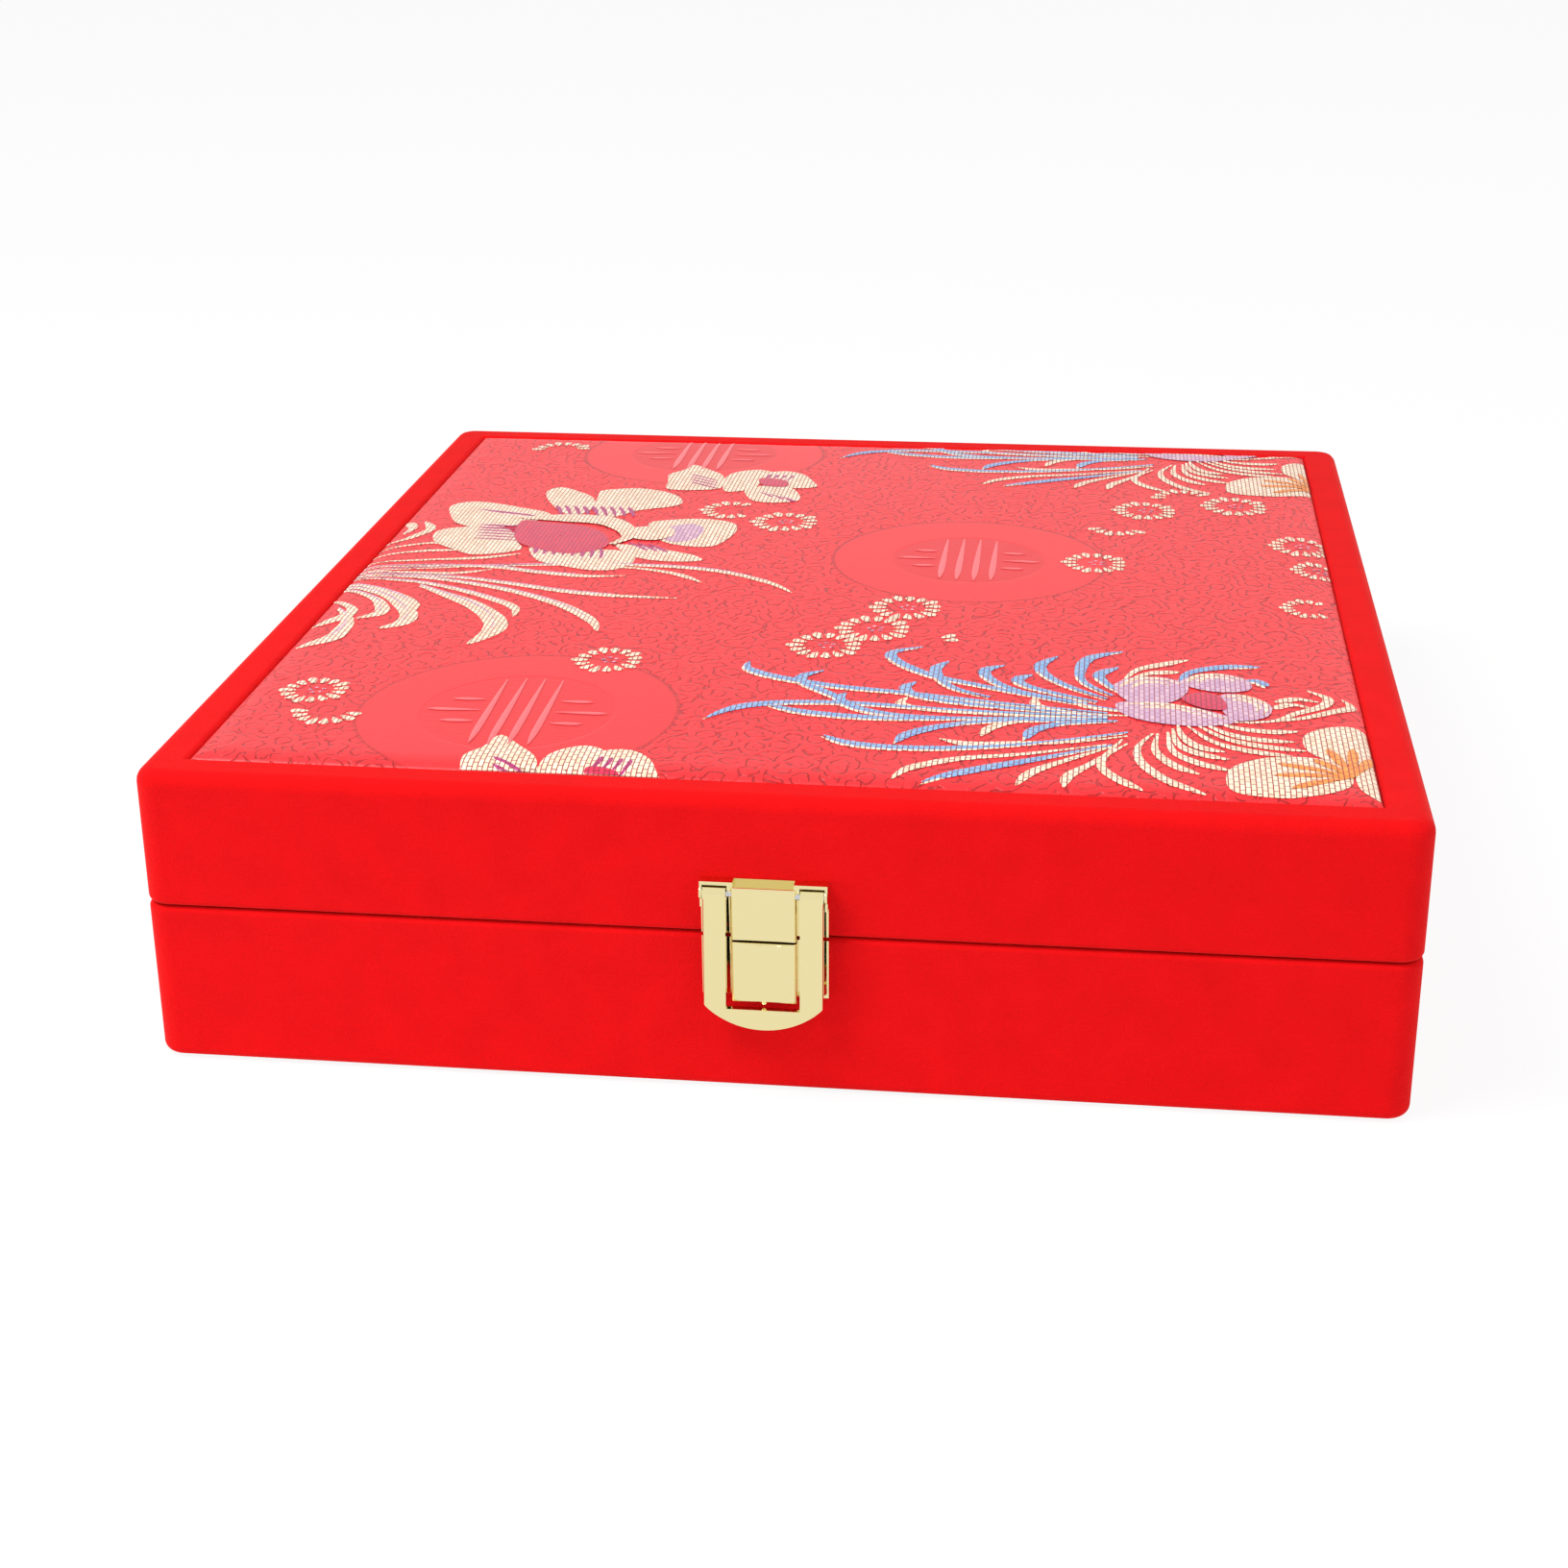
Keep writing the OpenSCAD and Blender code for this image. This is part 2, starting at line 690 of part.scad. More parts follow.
// One leaf: plate in the seam, knuckles, and the tail that stops the lid.
module hinge_leaf(upper) {
    bore_r = hinge_pin_r + (upper ? bore_clearance : 0);
    plate_z = -seam_gap / 2 - leaf_t;
    color(latch_gold) difference() {
        turned_up(upper) {
            translate([-hinge_w / 2, -hinge_axis_out - leaf_depth, plate_z])
                cube([hinge_w, leaf_depth + hinge_axis_out - knuckle_r - knuckle_gap, leaf_t]);
            knuckle_stretches(upper, -knuckle_r - 2 * knuckle_gap, 0, plate_z, plate_z + leaf_t);
            intersection() {
                rotate([0, 90, 0]) cylinder(r = knuckle_r, h = hinge_w, center = true);
                knuckle_stretches(upper, -knuckle_r, knuckle_r, -knuckle_r, knuckle_r);
            }
            rotate([-tail_angle, 0, 0]) {
                translate([-hinge_w / 2, tail_start, -leaf_t])
                    cube([hinge_w, tail_len, leaf_t]);
                knuckle_stretches(upper, hinge_pin_r + 0.4, tail_start, -leaf_t, 0);
            }
        }
        rotate([0, 90, 0]) cylinder(r = bore_r, h = hinge_w + past, center = true);
        turned_up(upper) leaf_screws();
    }
}

module left_hinge_lower_leaf() { on_back(-1) hinge_leaf(false); }
module right_hinge_lower_leaf() { on_back(1) hinge_leaf(false); }
module left_hinge_upper_leaf() { on_back(-1) hinge_leaf(true); }
module right_hinge_upper_leaf() { on_back(1) hinge_leaf(true); }

module hinge_pin(side) {
    color(pin_steel) on_back(side) rotate([0, 90, 0])
        cylinder(r = hinge_pin_r, h = hinge_w, center = true);
}

module left_hinge_pin() { hinge_pin(-1); }
module right_hinge_pin() { hinge_pin(1); }
module base_hinge_screws() { color(latch_gold) hinge_screw_shapes(false); }
module lid_hinge_screws() { color(latch_gold) hinge_screw_shapes(true); }

base_bottom_board();
base_front_wall();
base_back_wall();
base_left_wall();
base_right_wall();
base_velvet();
base_paper();
collar_front();
collar_back();
collar_left();
collar_right();
floor_cushion();
catch_plate();
catch_fixings();
left_hinge_lower_leaf();
right_hinge_lower_leaf();
left_hinge_pin();
right_hinge_pin();
base_hinge_screws();
lid_top_board();
lid_front_wall();
lid_back_wall();
lid_left_wall();
lid_right_wall();
rim_strip_front();
rim_strip_back();
rim_strip_left();
rim_strip_right();
lid_velvet();
panel_card();
panel_foam();
brocade_cloth();
lid_lining_front();
lid_lining_back();
lid_lining_left();
lid_lining_right();
ceiling_cushion();
latch_plate();
latch_pin();
latch_fixings();
left_hinge_upper_leaf();
right_hinge_upper_leaf();
lid_hinge_screws();
bail();
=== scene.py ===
"""Flat presentation box: velvet over board, a padded brocade panel in the lid and a gilt bail latch."""
import logging
import math
from dataclasses import dataclass
from enum import Enum

import bmesh
import bpy
import numpy as np
from mathutils import Matrix, Vector


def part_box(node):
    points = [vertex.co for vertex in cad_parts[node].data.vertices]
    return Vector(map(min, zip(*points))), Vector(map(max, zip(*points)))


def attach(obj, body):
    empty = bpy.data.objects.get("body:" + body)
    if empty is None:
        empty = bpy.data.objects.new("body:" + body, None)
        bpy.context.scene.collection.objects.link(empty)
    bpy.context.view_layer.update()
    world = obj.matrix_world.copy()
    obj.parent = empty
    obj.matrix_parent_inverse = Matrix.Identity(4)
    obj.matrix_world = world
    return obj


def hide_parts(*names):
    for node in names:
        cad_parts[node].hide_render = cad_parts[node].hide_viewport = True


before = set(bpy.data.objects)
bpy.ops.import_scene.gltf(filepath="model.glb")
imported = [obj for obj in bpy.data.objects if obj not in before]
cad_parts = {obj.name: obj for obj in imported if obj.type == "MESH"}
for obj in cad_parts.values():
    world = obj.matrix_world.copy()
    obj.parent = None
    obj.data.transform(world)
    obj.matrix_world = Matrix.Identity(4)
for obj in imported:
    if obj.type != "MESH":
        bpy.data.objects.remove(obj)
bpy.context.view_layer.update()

log = logging.getLogger("brocade_box")
MM = 0.001
IMAGE_SIDE = 1632
SENSOR_MM = 36.0
NOISE_LOW, NOISE_HIGH = 0.35, 0.65
Point = tuple[float, float]
Place = tuple[float, float, float]
Path = tuple[Point, ...]


def linear(colour: str) -> tuple[float, ...]:
    """Turns an sRGB hex colour to the linear values that a shader takes.

    Args:
        colour: Six hex digits, such as "EC0A10".

    Returns:
        Linear red, green, blue and an alpha of 1.
    """
    parts = [int(colour[i:i + 2], 16) / 255 for i in (0, 2, 4)]
    lin = [c / 12.92 if c <= 0.04045 else ((c + 0.055) / 1.055) ** 2.4 for c in parts]
    return (*lin, 1.0)


def add_node(tree: bpy.types.NodeTree, kind: str, inputs: dict | None = None,
             **settings) -> bpy.types.Node:
    """Adds one shader node with its settings, values and links.

    Args:
        tree: Node tree that gets the node.
        kind: Blender's identifier of the node.
        inputs: Value or output socket for each input, by name or index.
        **settings: Properties of the node.

    Returns:
        The new node.
    """
    node = tree.nodes.new(kind)
    for name, value in settings.items():
        setattr(node, name, value)
    for name, value in (inputs or {}).items():
        if isinstance(value, bpy.types.NodeSocket):
            tree.links.new(value, node.inputs[name])
        else:
            node.inputs[name].default_value = value
    return node


def blank_material(name: str) -> tuple[bpy.types.Material, bpy.types.NodeTree]:
    """Makes an empty node material.

    Args:
        name: Name of the material.

    Returns:
        The material and its node tree.
    """
    material = bpy.data.materials.new(name)
    material.use_nodes = True
    material.node_tree.nodes.clear()
    return material, material.node_tree


def close_material(tree: bpy.types.NodeTree, height: bpy.types.NodeSocket | None, depth_mm: float,
                   inputs: dict) -> None:
    """Ends a material with a bump and a principled shader.

    Args:
        tree: Node tree of the material.
        height: Relief from 0 to 1, or None for a smooth surface.
        depth_mm: Depth of the relief in millimetres.
        inputs: Values and links of the principled shader.
    """
    if height is not None:
        bump = add_node(tree, "ShaderNodeBump",
                        {"Height": height, "Distance": depth_mm * MM, "Strength": 1.0})
        inputs["Normal"] = bump.outputs[0]
    shader = add_node(tree, "ShaderNodeBsdfPrincipled", inputs)
    add_node(tree, "ShaderNodeOutputMaterial", {"Surface": shader.outputs[0]})


def place_mm(tree: bpy.types.NodeTree, scale: Place) -> bpy.types.NodeSocket:
    """Gives the place on the object in steps of a pattern's real size.

    Args:
        tree: Node tree that gets the nodes.
        scale: Size of one step in millimetres, on each axis.

    Returns:
        The place, counted in steps.
    """
    coords = add_node(tree, "ShaderNodeTexCoord")
    factors = tuple(1 / MM / s for s in scale)
    scaled = add_node(tree, "ShaderNodeVectorMath", {0: coords.outputs["Object"], 1: factors},
                      operation="MULTIPLY")
    return scaled.outputs[0]


def mixed(tree: bpy.types.NodeTree, share: bpy.types.NodeSocket, first: str,
          second: str) -> bpy.types.NodeSocket:
    """Mixes two hex colours by a share from 0 to 1."""
    node = add_node(tree, "ShaderNodeMix", {0: share, 6: linear(first), 7: linear(second)},
                    data_type="RGBA")
    return node.outputs[2]


@dataclass(frozen=True)
class FlockedVelvet:
    """Nylon flock on cloth: a matt pile whose tips catch light when seen edge on, and faint nap patches."""

    pile: str = "DC060C"
    shaded: str = "D00409"
    tips: str = "FF6A60"
    fibre_mm: float = 0.45
    fibre_share: float = 0.45
    patch_mm: float = 9.0
    nap_depth_mm: float = 0.12

    def make(self) -> bpy.types.Material:
        """Builds the material.

        Returns:
            The material.
        """
        material, tree = blank_material("flocked velvet")
        patch = add_node(tree, "ShaderNodeTexNoise",
                         {"Vector": place_mm(tree, (self.patch_mm,) * 3), "Detail": 5.0, "Scale": 1.0})
        # Fibres are 0.02 mm thick; the pile is drawn at fibre_mm so that its grain shows.
        fibre = add_node(tree, "ShaderNodeTexNoise",
                         {"Vector": place_mm(tree, (self.fibre_mm,) * 3), "Detail": 2.0, "Scale": 1.0})
        share = add_node(tree, "ShaderNodeMix",
                         {0: self.fibre_share, 2: patch.outputs[0], 3: fibre.outputs[0]})
        steps = add_node(tree, "ShaderNodeMapRange", {0: share.outputs[0], 1: NOISE_LOW, 2: NOISE_HIGH})
        close_material(tree, fibre.outputs[0], self.nap_depth_mm, {
            "Base Color": mixed(tree, steps.outputs[0], self.shaded, self.pile), "Roughness": 0.9,
            "Specular IOR Level": 0.12, "Sheen Weight": 0.32, "Sheen Roughness": 0.35,
            "Sheen Tint": linear(self.tips)})
        return material


@dataclass(frozen=True)
class SilkGround:
    """Red silk damask: satin ground with fine darker cloud scrolls, and plain satin roundels with a fret.

    A scroll is a ring round a cell of cloud_mm, bent by wander_mm and broken by gaps. Each roundel holds the
    place of its middle, its radius and the radius of its darker middle.
    """

    satin: str = "EC2028"
    line: str = "A80812"
    gleam: str = "FFB0A8"
    cloud_mm: float = 6.2
    rings: float = 3.3
    line_start: float = 0.05
    line_end: float = 0.17
    wander_per_mm: float = 0.28
    wander_mm: float = 3.4
    gaps_per_mm: float = 0.45
    thread_mm: float = 0.5
    relief_mm: float = 0.22
    rim_mm: float = 0.45
    rim_share: float = 0.6
    middle_share: float = 0.34
    roundels: tuple[tuple[float, float, float, float], ...] = (
        (-56, -97, 33, 20.5), (30, 12.5, 32.5, 18.5), (-49, 109, 33, 20.5))

    def make(self) -> bpy.types.Material:
        """Builds the material.

        Returns:
            The material.
        """
        material, tree = blank_material("silk damask ground")
        flat = add_node(tree, "ShaderNodeVectorMath", {0: place_mm(tree, (1, 1, 1)), 1: (1, 1, 0)},
                        operation="MULTIPLY")
        wander = add_node(tree, "ShaderNodeTexNoise",
                          {"Vector": flat.outputs[0], "Scale": self.wander_per_mm, "Detail": 2.0})
        bent = add_node(tree, "ShaderNodeVectorMath",
                        {0: wander.outputs[1], 1: (self.wander_mm, self.wander_mm, 0), 2: flat.outputs[0]},
                        operation="MULTIPLY_ADD")
        cells = add_node(tree, "ShaderNodeTexVoronoi",
                         {"Vector": bent.outputs[0], "Scale": 1 / self.cloud_mm}, voronoi_dimensions="2D")
        turn = add_node(tree, "ShaderNodeMath", {0: cells.outputs["Distance"], 1: self.rings},
                        operation="MULTIPLY")
        saw = add_node(tree, "ShaderNodeMath", {0: turn.outputs[0], 1: 0.5}, operation="PINGPONG")
        line = add_node(tree, "ShaderNodeMapRange",
                        {0: saw.outputs[0], 1: self.line_start, 2: self.line_end, 3: 1.0, 4: 0.0})
        gaps = add_node(tree, "ShaderNodeTexNoise",
                        {"Vector": flat.outputs[0], "Scale": self.gaps_per_mm, "Detail": 1.0})
        kept = add_node(tree, "ShaderNodeMapRange", {0: gaps.outputs[0], 1: 0.3, 2: 0.52})
        scroll = add_node(tree, "ShaderNodeMath", {0: line.outputs[0], 1: kept.outputs[0]},
                          operation="MULTIPLY")
        mask = scroll.outputs[0]
        for x, y, outer, inner in self.roundels:
            mask = self.with_roundel(tree, flat.outputs[0], mask, (x, y, 0), outer, inner)
        # Silk floats are 0.1 mm wide; they are drawn at thread_mm so that the grain shows.
        threads = add_node(tree, "ShaderNodeTexNoise",
                           {"Vector": place_mm(tree, (self.thread_mm * 3, self.thread_mm, 1)), "Scale": 1.0})
        grain = add_node(tree, "ShaderNodeMath", {0: threads.outputs[0], 1: 0.3, 2: -0.1},
                         operation="MULTIPLY_ADD")
        dark = add_node(tree, "ShaderNodeMath", {0: mask, 1: grain.outputs[0]}, operation="ADD",
                        use_clamp=True)
        relief = add_node(tree, "ShaderNodeMath", {0: 1.0, 1: dark.outputs[0]}, operation="SUBTRACT")
        close_material(tree, relief.outputs[0], self.relief_mm, {
            "Base Color": mixed(tree, dark.outputs[0], self.satin, self.line), "Roughness": 0.42,
            "Specular IOR Level": 0.4, "Sheen Weight": 0.05, "Sheen Roughness": 0.4,
            "Sheen Tint": linear(self.gleam)})
        return material

    def with_roundel(self, tree: bpy.types.NodeTree, place: bpy.types.NodeSocket,
                     mask: bpy.types.NodeSocket, centre: Place, outer: float,
                     inner: float) -> bpy.types.NodeSocket:
        """Clears the scrolls inside a roundel and draws its rim and its darker middle.

        Args:
            tree: Node tree of the material.
            place: Place on the cloth in millimetres.
            mask: Share of the line colour so far.
            centre: Middle of the roundel in millimetres.
            outer: Radius of the roundel.
            inner: Radius of its darker middle.

        Returns:
            The new share of the line colour.
        """
        distance = add_node(tree, "ShaderNodeVectorMath", {0: place, 1: centre}, operation="DISTANCE")
        away = distance.outputs["Value"]
        outside = add_node(tree, "ShaderNodeMapRange", {0: away, 1: outer - 0.3, 2: outer + 0.3})
        on_rim = add_node(tree, "ShaderNodeMath", {0: away, 1: outer, 2: self.rim_mm}, operation="COMPARE")
        middle = add_node(tree, "ShaderNodeMapRange",
                          {0: away, 1: inner, 2: inner - 0.6, 3: 0.0, 4: self.middle_share})
        kept = add_node(tree, "ShaderNodeMath", {0: mask, 1: outside.outputs[0]}, operation="MULTIPLY")
        rim = add_node(tree, "ShaderNodeMath", {0: on_rim.outputs[0], 1: self.rim_share, 2: kept.outputs[0]},
                       operation="MULTIPLY_ADD")
        return add_node(tree, "ShaderNodeMath", {0: rim.outputs[0], 1: middle.outputs[0]},
                        operation="ADD").outputs[0]


@dataclass(frozen=True)
class FlossFloats:
    """Brocading floss: short bright floats side by side, with the red ground showing in the gaps between,
    painted darker there as shade.

    Real floats are 0.3 mm wide; they are drawn at pitch_mm so that each one shows.
    """

    name: str
    bright: str
    dull: str
    # The gap colour is the red ground between the floats, darkened with painted shade.
    gap_ground_and_shade: str = "A5101C"
    float_mm: float = 2.4
    pitch_mm: float = 1.05
    gap_mm: float = 0.12
    relief_mm: float = 0.15

    def make(self) -> bpy.types.Material:
        """Builds the material.

        Returns:
            The material.
        """
        material, tree = blank_material(self.name)
        turned = add_node(tree, "ShaderNodeMapping",
                          {"Vector": place_mm(tree, (1, 1, 1)), "Rotation": (0, 0, math.pi / 2)})
        # The mortar carries the gap colour: ground between the floats with painted shade.
        bricks = add_node(tree, "ShaderNodeTexBrick", {
            "Vector": turned.outputs[0], "Color1": linear(self.bright), "Color2": linear(self.dull),
            "Mortar": linear(self.gap_ground_and_shade), "Scale": 1.0, "Mortar Size": self.gap_mm, "Mortar Smooth": 0.35,
            "Brick Width": self.float_mm, "Row Height": self.pitch_mm})
        raised = add_node(tree, "ShaderNodeMath", {0: 1.0, 1: bricks.outputs["Fac"]},
                          operation="SUBTRACT")
        close_material(tree, raised.outputs[0], self.relief_mm, {
            "Base Color": bricks.outputs["Color"], "Roughness": 0.38, "Specular IOR Level": 0.55})
        return material


@dataclass(frozen=True)
class Satin:
    """Woven satin: smooth, softly shining along its floats, with a fine cross grain."""

    name: str = "acetate satin"
    face: str = "E2B04A"
    fold: str = "C8922F"
    thread_mm: float = 0.35
    roughness: float = 0.34
    float_threads: int = 8
    grain_mm: float = 0.03

    def make(self) -> bpy.types.Material:
        """Builds the material.

        Returns:
            The material.
        """
        material, tree = blank_material(self.name)
        weave = add_node(tree, "ShaderNodeTexNoise", {
            "Vector": place_mm(tree, (self.thread_mm * self.float_threads, self.thread_mm, self.thread_mm)),
            "Scale": 1.0})
        close_material(tree, weave.outputs[0], self.grain_mm, {
            "Base Color": mixed(tree, weave.outputs[0], self.fold, self.face), "Roughness": self.roughness,
            "Specular IOR Level": 0.5, "Sheen Weight": 0.15, "Sheen Roughness": 0.3})
        return material


@dataclass(frozen=True)
class PlatedMetal:
    """Polished plated metal: a mirror with faint polishing waves and hairline rubs."""

    name: str
    tone: str
    roughness: float
    rub_mm: Place = (0.3, 0.3, 6.0)
    wave_mm: float = 5.0
    wave_depth_mm: float = 0.04

    def make(self) -> bpy.types.Material:
        """Builds the material.

        Returns:
            The material.
        """
        material, tree = blank_material(self.name)
        rubs = add_node(tree, "ShaderNodeTexNoise", {"Vector": place_mm(tree, self.rub_mm), "Scale": 1.0})
        gloss = add_node(tree, "ShaderNodeMapRange", {
            0: rubs.outputs[0], 1: 0.3, 2: 0.7, 3: self.roughness * 0.7, 4: self.roughness * 1.3})
        waves = add_node(tree, "ShaderNodeTexNoise",
                         {"Vector": place_mm(tree, (self.wave_mm,) * 3), "Scale": 1.0})
        close_material(tree, waves.outputs[0], self.wave_depth_mm, {
            "Base Color": linear(self.tone), "Metallic": 1.0, "Roughness": gloss.outputs[0]})
        return material


@dataclass(frozen=True)
class PressedBoard:
    """Pressed fibre or paper: matt, flecked with darker fibres."""

    name: str
    light: str
    dark: str
    fleck_mm: float
    relief_mm: float = 0.05

    def make(self) -> bpy.types.Material:
        """Builds the material.

        Returns:
            The material.
        """
        material, tree = blank_material(self.name)
        flecks = add_node(tree, "ShaderNodeTexNoise",
                          {"Vector": place_mm(tree, (self.fleck_mm,) * 3), "Scale": 1.0, "Detail": 4.0})
        steps = add_node(tree, "ShaderNodeMapRange", {0: flecks.outputs[0], 1: NOISE_LOW, 2: NOISE_HIGH})
        close_material(tree, flecks.outputs[0], self.relief_mm, {
            "Base Color": mixed(tree, steps.outputs[0], self.dark, self.light), "Roughness": 0.85})
        return material


@dataclass(frozen=True)
class Lamp:
    """Square soft lamp: its name, its place and side in metres, and its power in watts."""

    name: str
    place: Place
    side: float
    power: float


@dataclass
class Studio:
    """Camera, soft lights, white surroundings and a pale floor.

    The angles, the focal length in pixels and the eye come from a fit to the photograph's outline.
    """

    azimuth: float = 7.3511
    elevation: float = 22.1881
    roll: float = -0.4667
    focal_px: float = 2673.75
    eye_mm: Place = (61.17, -579.13, 248.35)
    lamps: tuple[Lamp, ...] = (
        Lamp("key", (-0.6, -0.45, 1.15), 0.5, 14.0),
        Lamp("fill", (0.9, -0.5, 0.9), 0.7, 4.0),
        Lamp("side strip", (-0.9, -0.55, 0.12), 0.3, 1.6))
    lit_point: Place = (0, 0, 0.03)
    ambient: float = 0.6
    floor_side: float = 4.0
    floor_grey: float = 0.9
    floor_glow: float = 0.9

    def place_camera(self) -> None:
        """Sets up the camera where the photograph's camera stood."""
        az, el, roll = (math.radians(v) for v in (self.azimuth, self.elevation, self.roll))
        back = Vector((math.sin(az) * math.cos(el), -math.cos(az) * math.cos(el), math.sin(el)))
        right = Vector((0, 0, 1)).cross(back).normalized()
        up = back.cross(right)
        turned_right = math.cos(roll) * right + math.sin(roll) * up
        turned_up = math.cos(roll) * up - math.sin(roll) * right
        data = bpy.data.cameras.new("camera")
        data.sensor_width = SENSOR_MM
        data.lens = SENSOR_MM * self.focal_px / IMAGE_SIDE
        camera = bpy.data.objects.new("camera", data)
        turn = Matrix((turned_right, turned_up, back)).transposed().to_4x4()
        camera.matrix_world = Matrix.Translation(Vector(self.eye_mm) * MM) @ turn
        bpy.context.collection.objects.link(camera)
        bpy.context.scene.camera = camera

    def hang(self, lamp: Lamp) -> None:
        """Hangs a lamp so that it looks at the box.

        Args:
            lamp: The lamp.
        """
        data = bpy.data.lights.new(lamp.name, "AREA")
        data.size = lamp.side
        data.energy = lamp.power
        light = bpy.data.objects.new(lamp.name, data)
        light.location = lamp.place
        aim = Vector(self.lit_point) - Vector(lamp.place)
        light.rotation_euler = aim.to_track_quat("-Z", "Y").to_euler()
        bpy.context.collection.objects.link(light)

    def seen_directly(self, tree: bpy.types.NodeTree) -> tuple[bpy.types.Node, bpy.types.Node]:
        """Tells rays from the camera and from gloss apart from the rest.

        Args:
            tree: Node tree that gets the nodes.

        Returns:
            The light path, and a node that gives 1 for such a ray.
        """
        path = add_node(tree, "ShaderNodeLightPath")
        seen = add_node(tree, "ShaderNodeMath",
                        {0: path.outputs["Is Camera Ray"], 1: path.outputs["Is Glossy Ray"]},
                        operation="MAXIMUM")
        return path, seen

    def light(self) -> None:
        """Adds the world, the lamps and the floor."""
        scene = bpy.context.scene
        scene.view_settings.view_transform = "Standard"
        world = bpy.data.worlds.new("white surroundings")
        world.use_nodes = True
        scene.world = world
        tree = world.node_tree
        tree.nodes.clear()
        path, seen = self.seen_directly(tree)
        shown = add_node(tree, "ShaderNodeMath",
                         {0: seen.outputs[0], 1: path.outputs["Is Transmission Ray"]}, operation="MAXIMUM")
        strength = add_node(tree, "ShaderNodeMapRange", {0: shown.outputs[0], 3: self.ambient, 4: 1.0})
        glow = add_node(tree, "ShaderNodeBackground",
                        {"Color": (1, 1, 1, 1), "Strength": strength.outputs[0]})
        add_node(tree, "ShaderNodeOutputWorld", {"Surface": glow.outputs[0]})
        for lamp in self.lamps:
            self.hang(lamp)
        self.lay_floor()

    def lay_floor(self) -> None:
        """Lays a white floor that keeps the box's shadow."""
        material, tree = blank_material("white floor")
        matt = add_node(tree, "ShaderNodeBsdfDiffuse", {"Color": (*(self.floor_grey,) * 3, 1)})
        glow = add_node(tree, "ShaderNodeEmission", {"Strength": 1.0})
        _, seen = self.seen_directly(tree)
        share = add_node(tree, "ShaderNodeMath", {0: seen.outputs[0], 1: self.floor_glow},
                         operation="MULTIPLY")
        mix = add_node(tree, "ShaderNodeMixShader",
                       {0: share.outputs[0], 1: matt.outputs[0], 2: glow.outputs[0]})
        add_node(tree, "ShaderNodeOutputMaterial", {"Surface": mix.outputs[0]})
        mesh = bpy.data.meshes.new("floor")
        side = self.floor_side
        corners = [(-side, -side, 0), (side, -side, 0), (side, side, 0), (-side, side, 0)]
        mesh.from_pydata(corners, [], [(0, 1, 2, 3)])
        mesh.materials.append(material)
        floor = bpy.data.objects.new("floor", mesh)
        bpy.context.collection.objects.link(floor)


def add_piece(name: str, points: list | np.ndarray, faces: list, material: bpy.types.Material,
              body: str) -> bpy.types.Object:
    """Makes a smooth mesh piece from millimetre points and lets it ride on a body.

    Args:
        name: Name of the piece.
        points: Points in millimetres.
        faces: Point numbers of each face.
        material: Its material.
        body: Body that it moves with.

    Returns:
        The new object.
    """
    mesh = bpy.data.meshes.new(name)
    mesh.from_pydata([tuple(float(v) * MM for v in p) for p in points], [], faces)
    mesh.polygons.foreach_set("use_smooth", [True] * len(mesh.polygons))
    mesh.materials.append(material)
    mesh.validate()
    piece = bpy.data.objects.new(name, mesh)
    bpy.context.collection.objects.link(piece)
    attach(piece, body)
    return piece


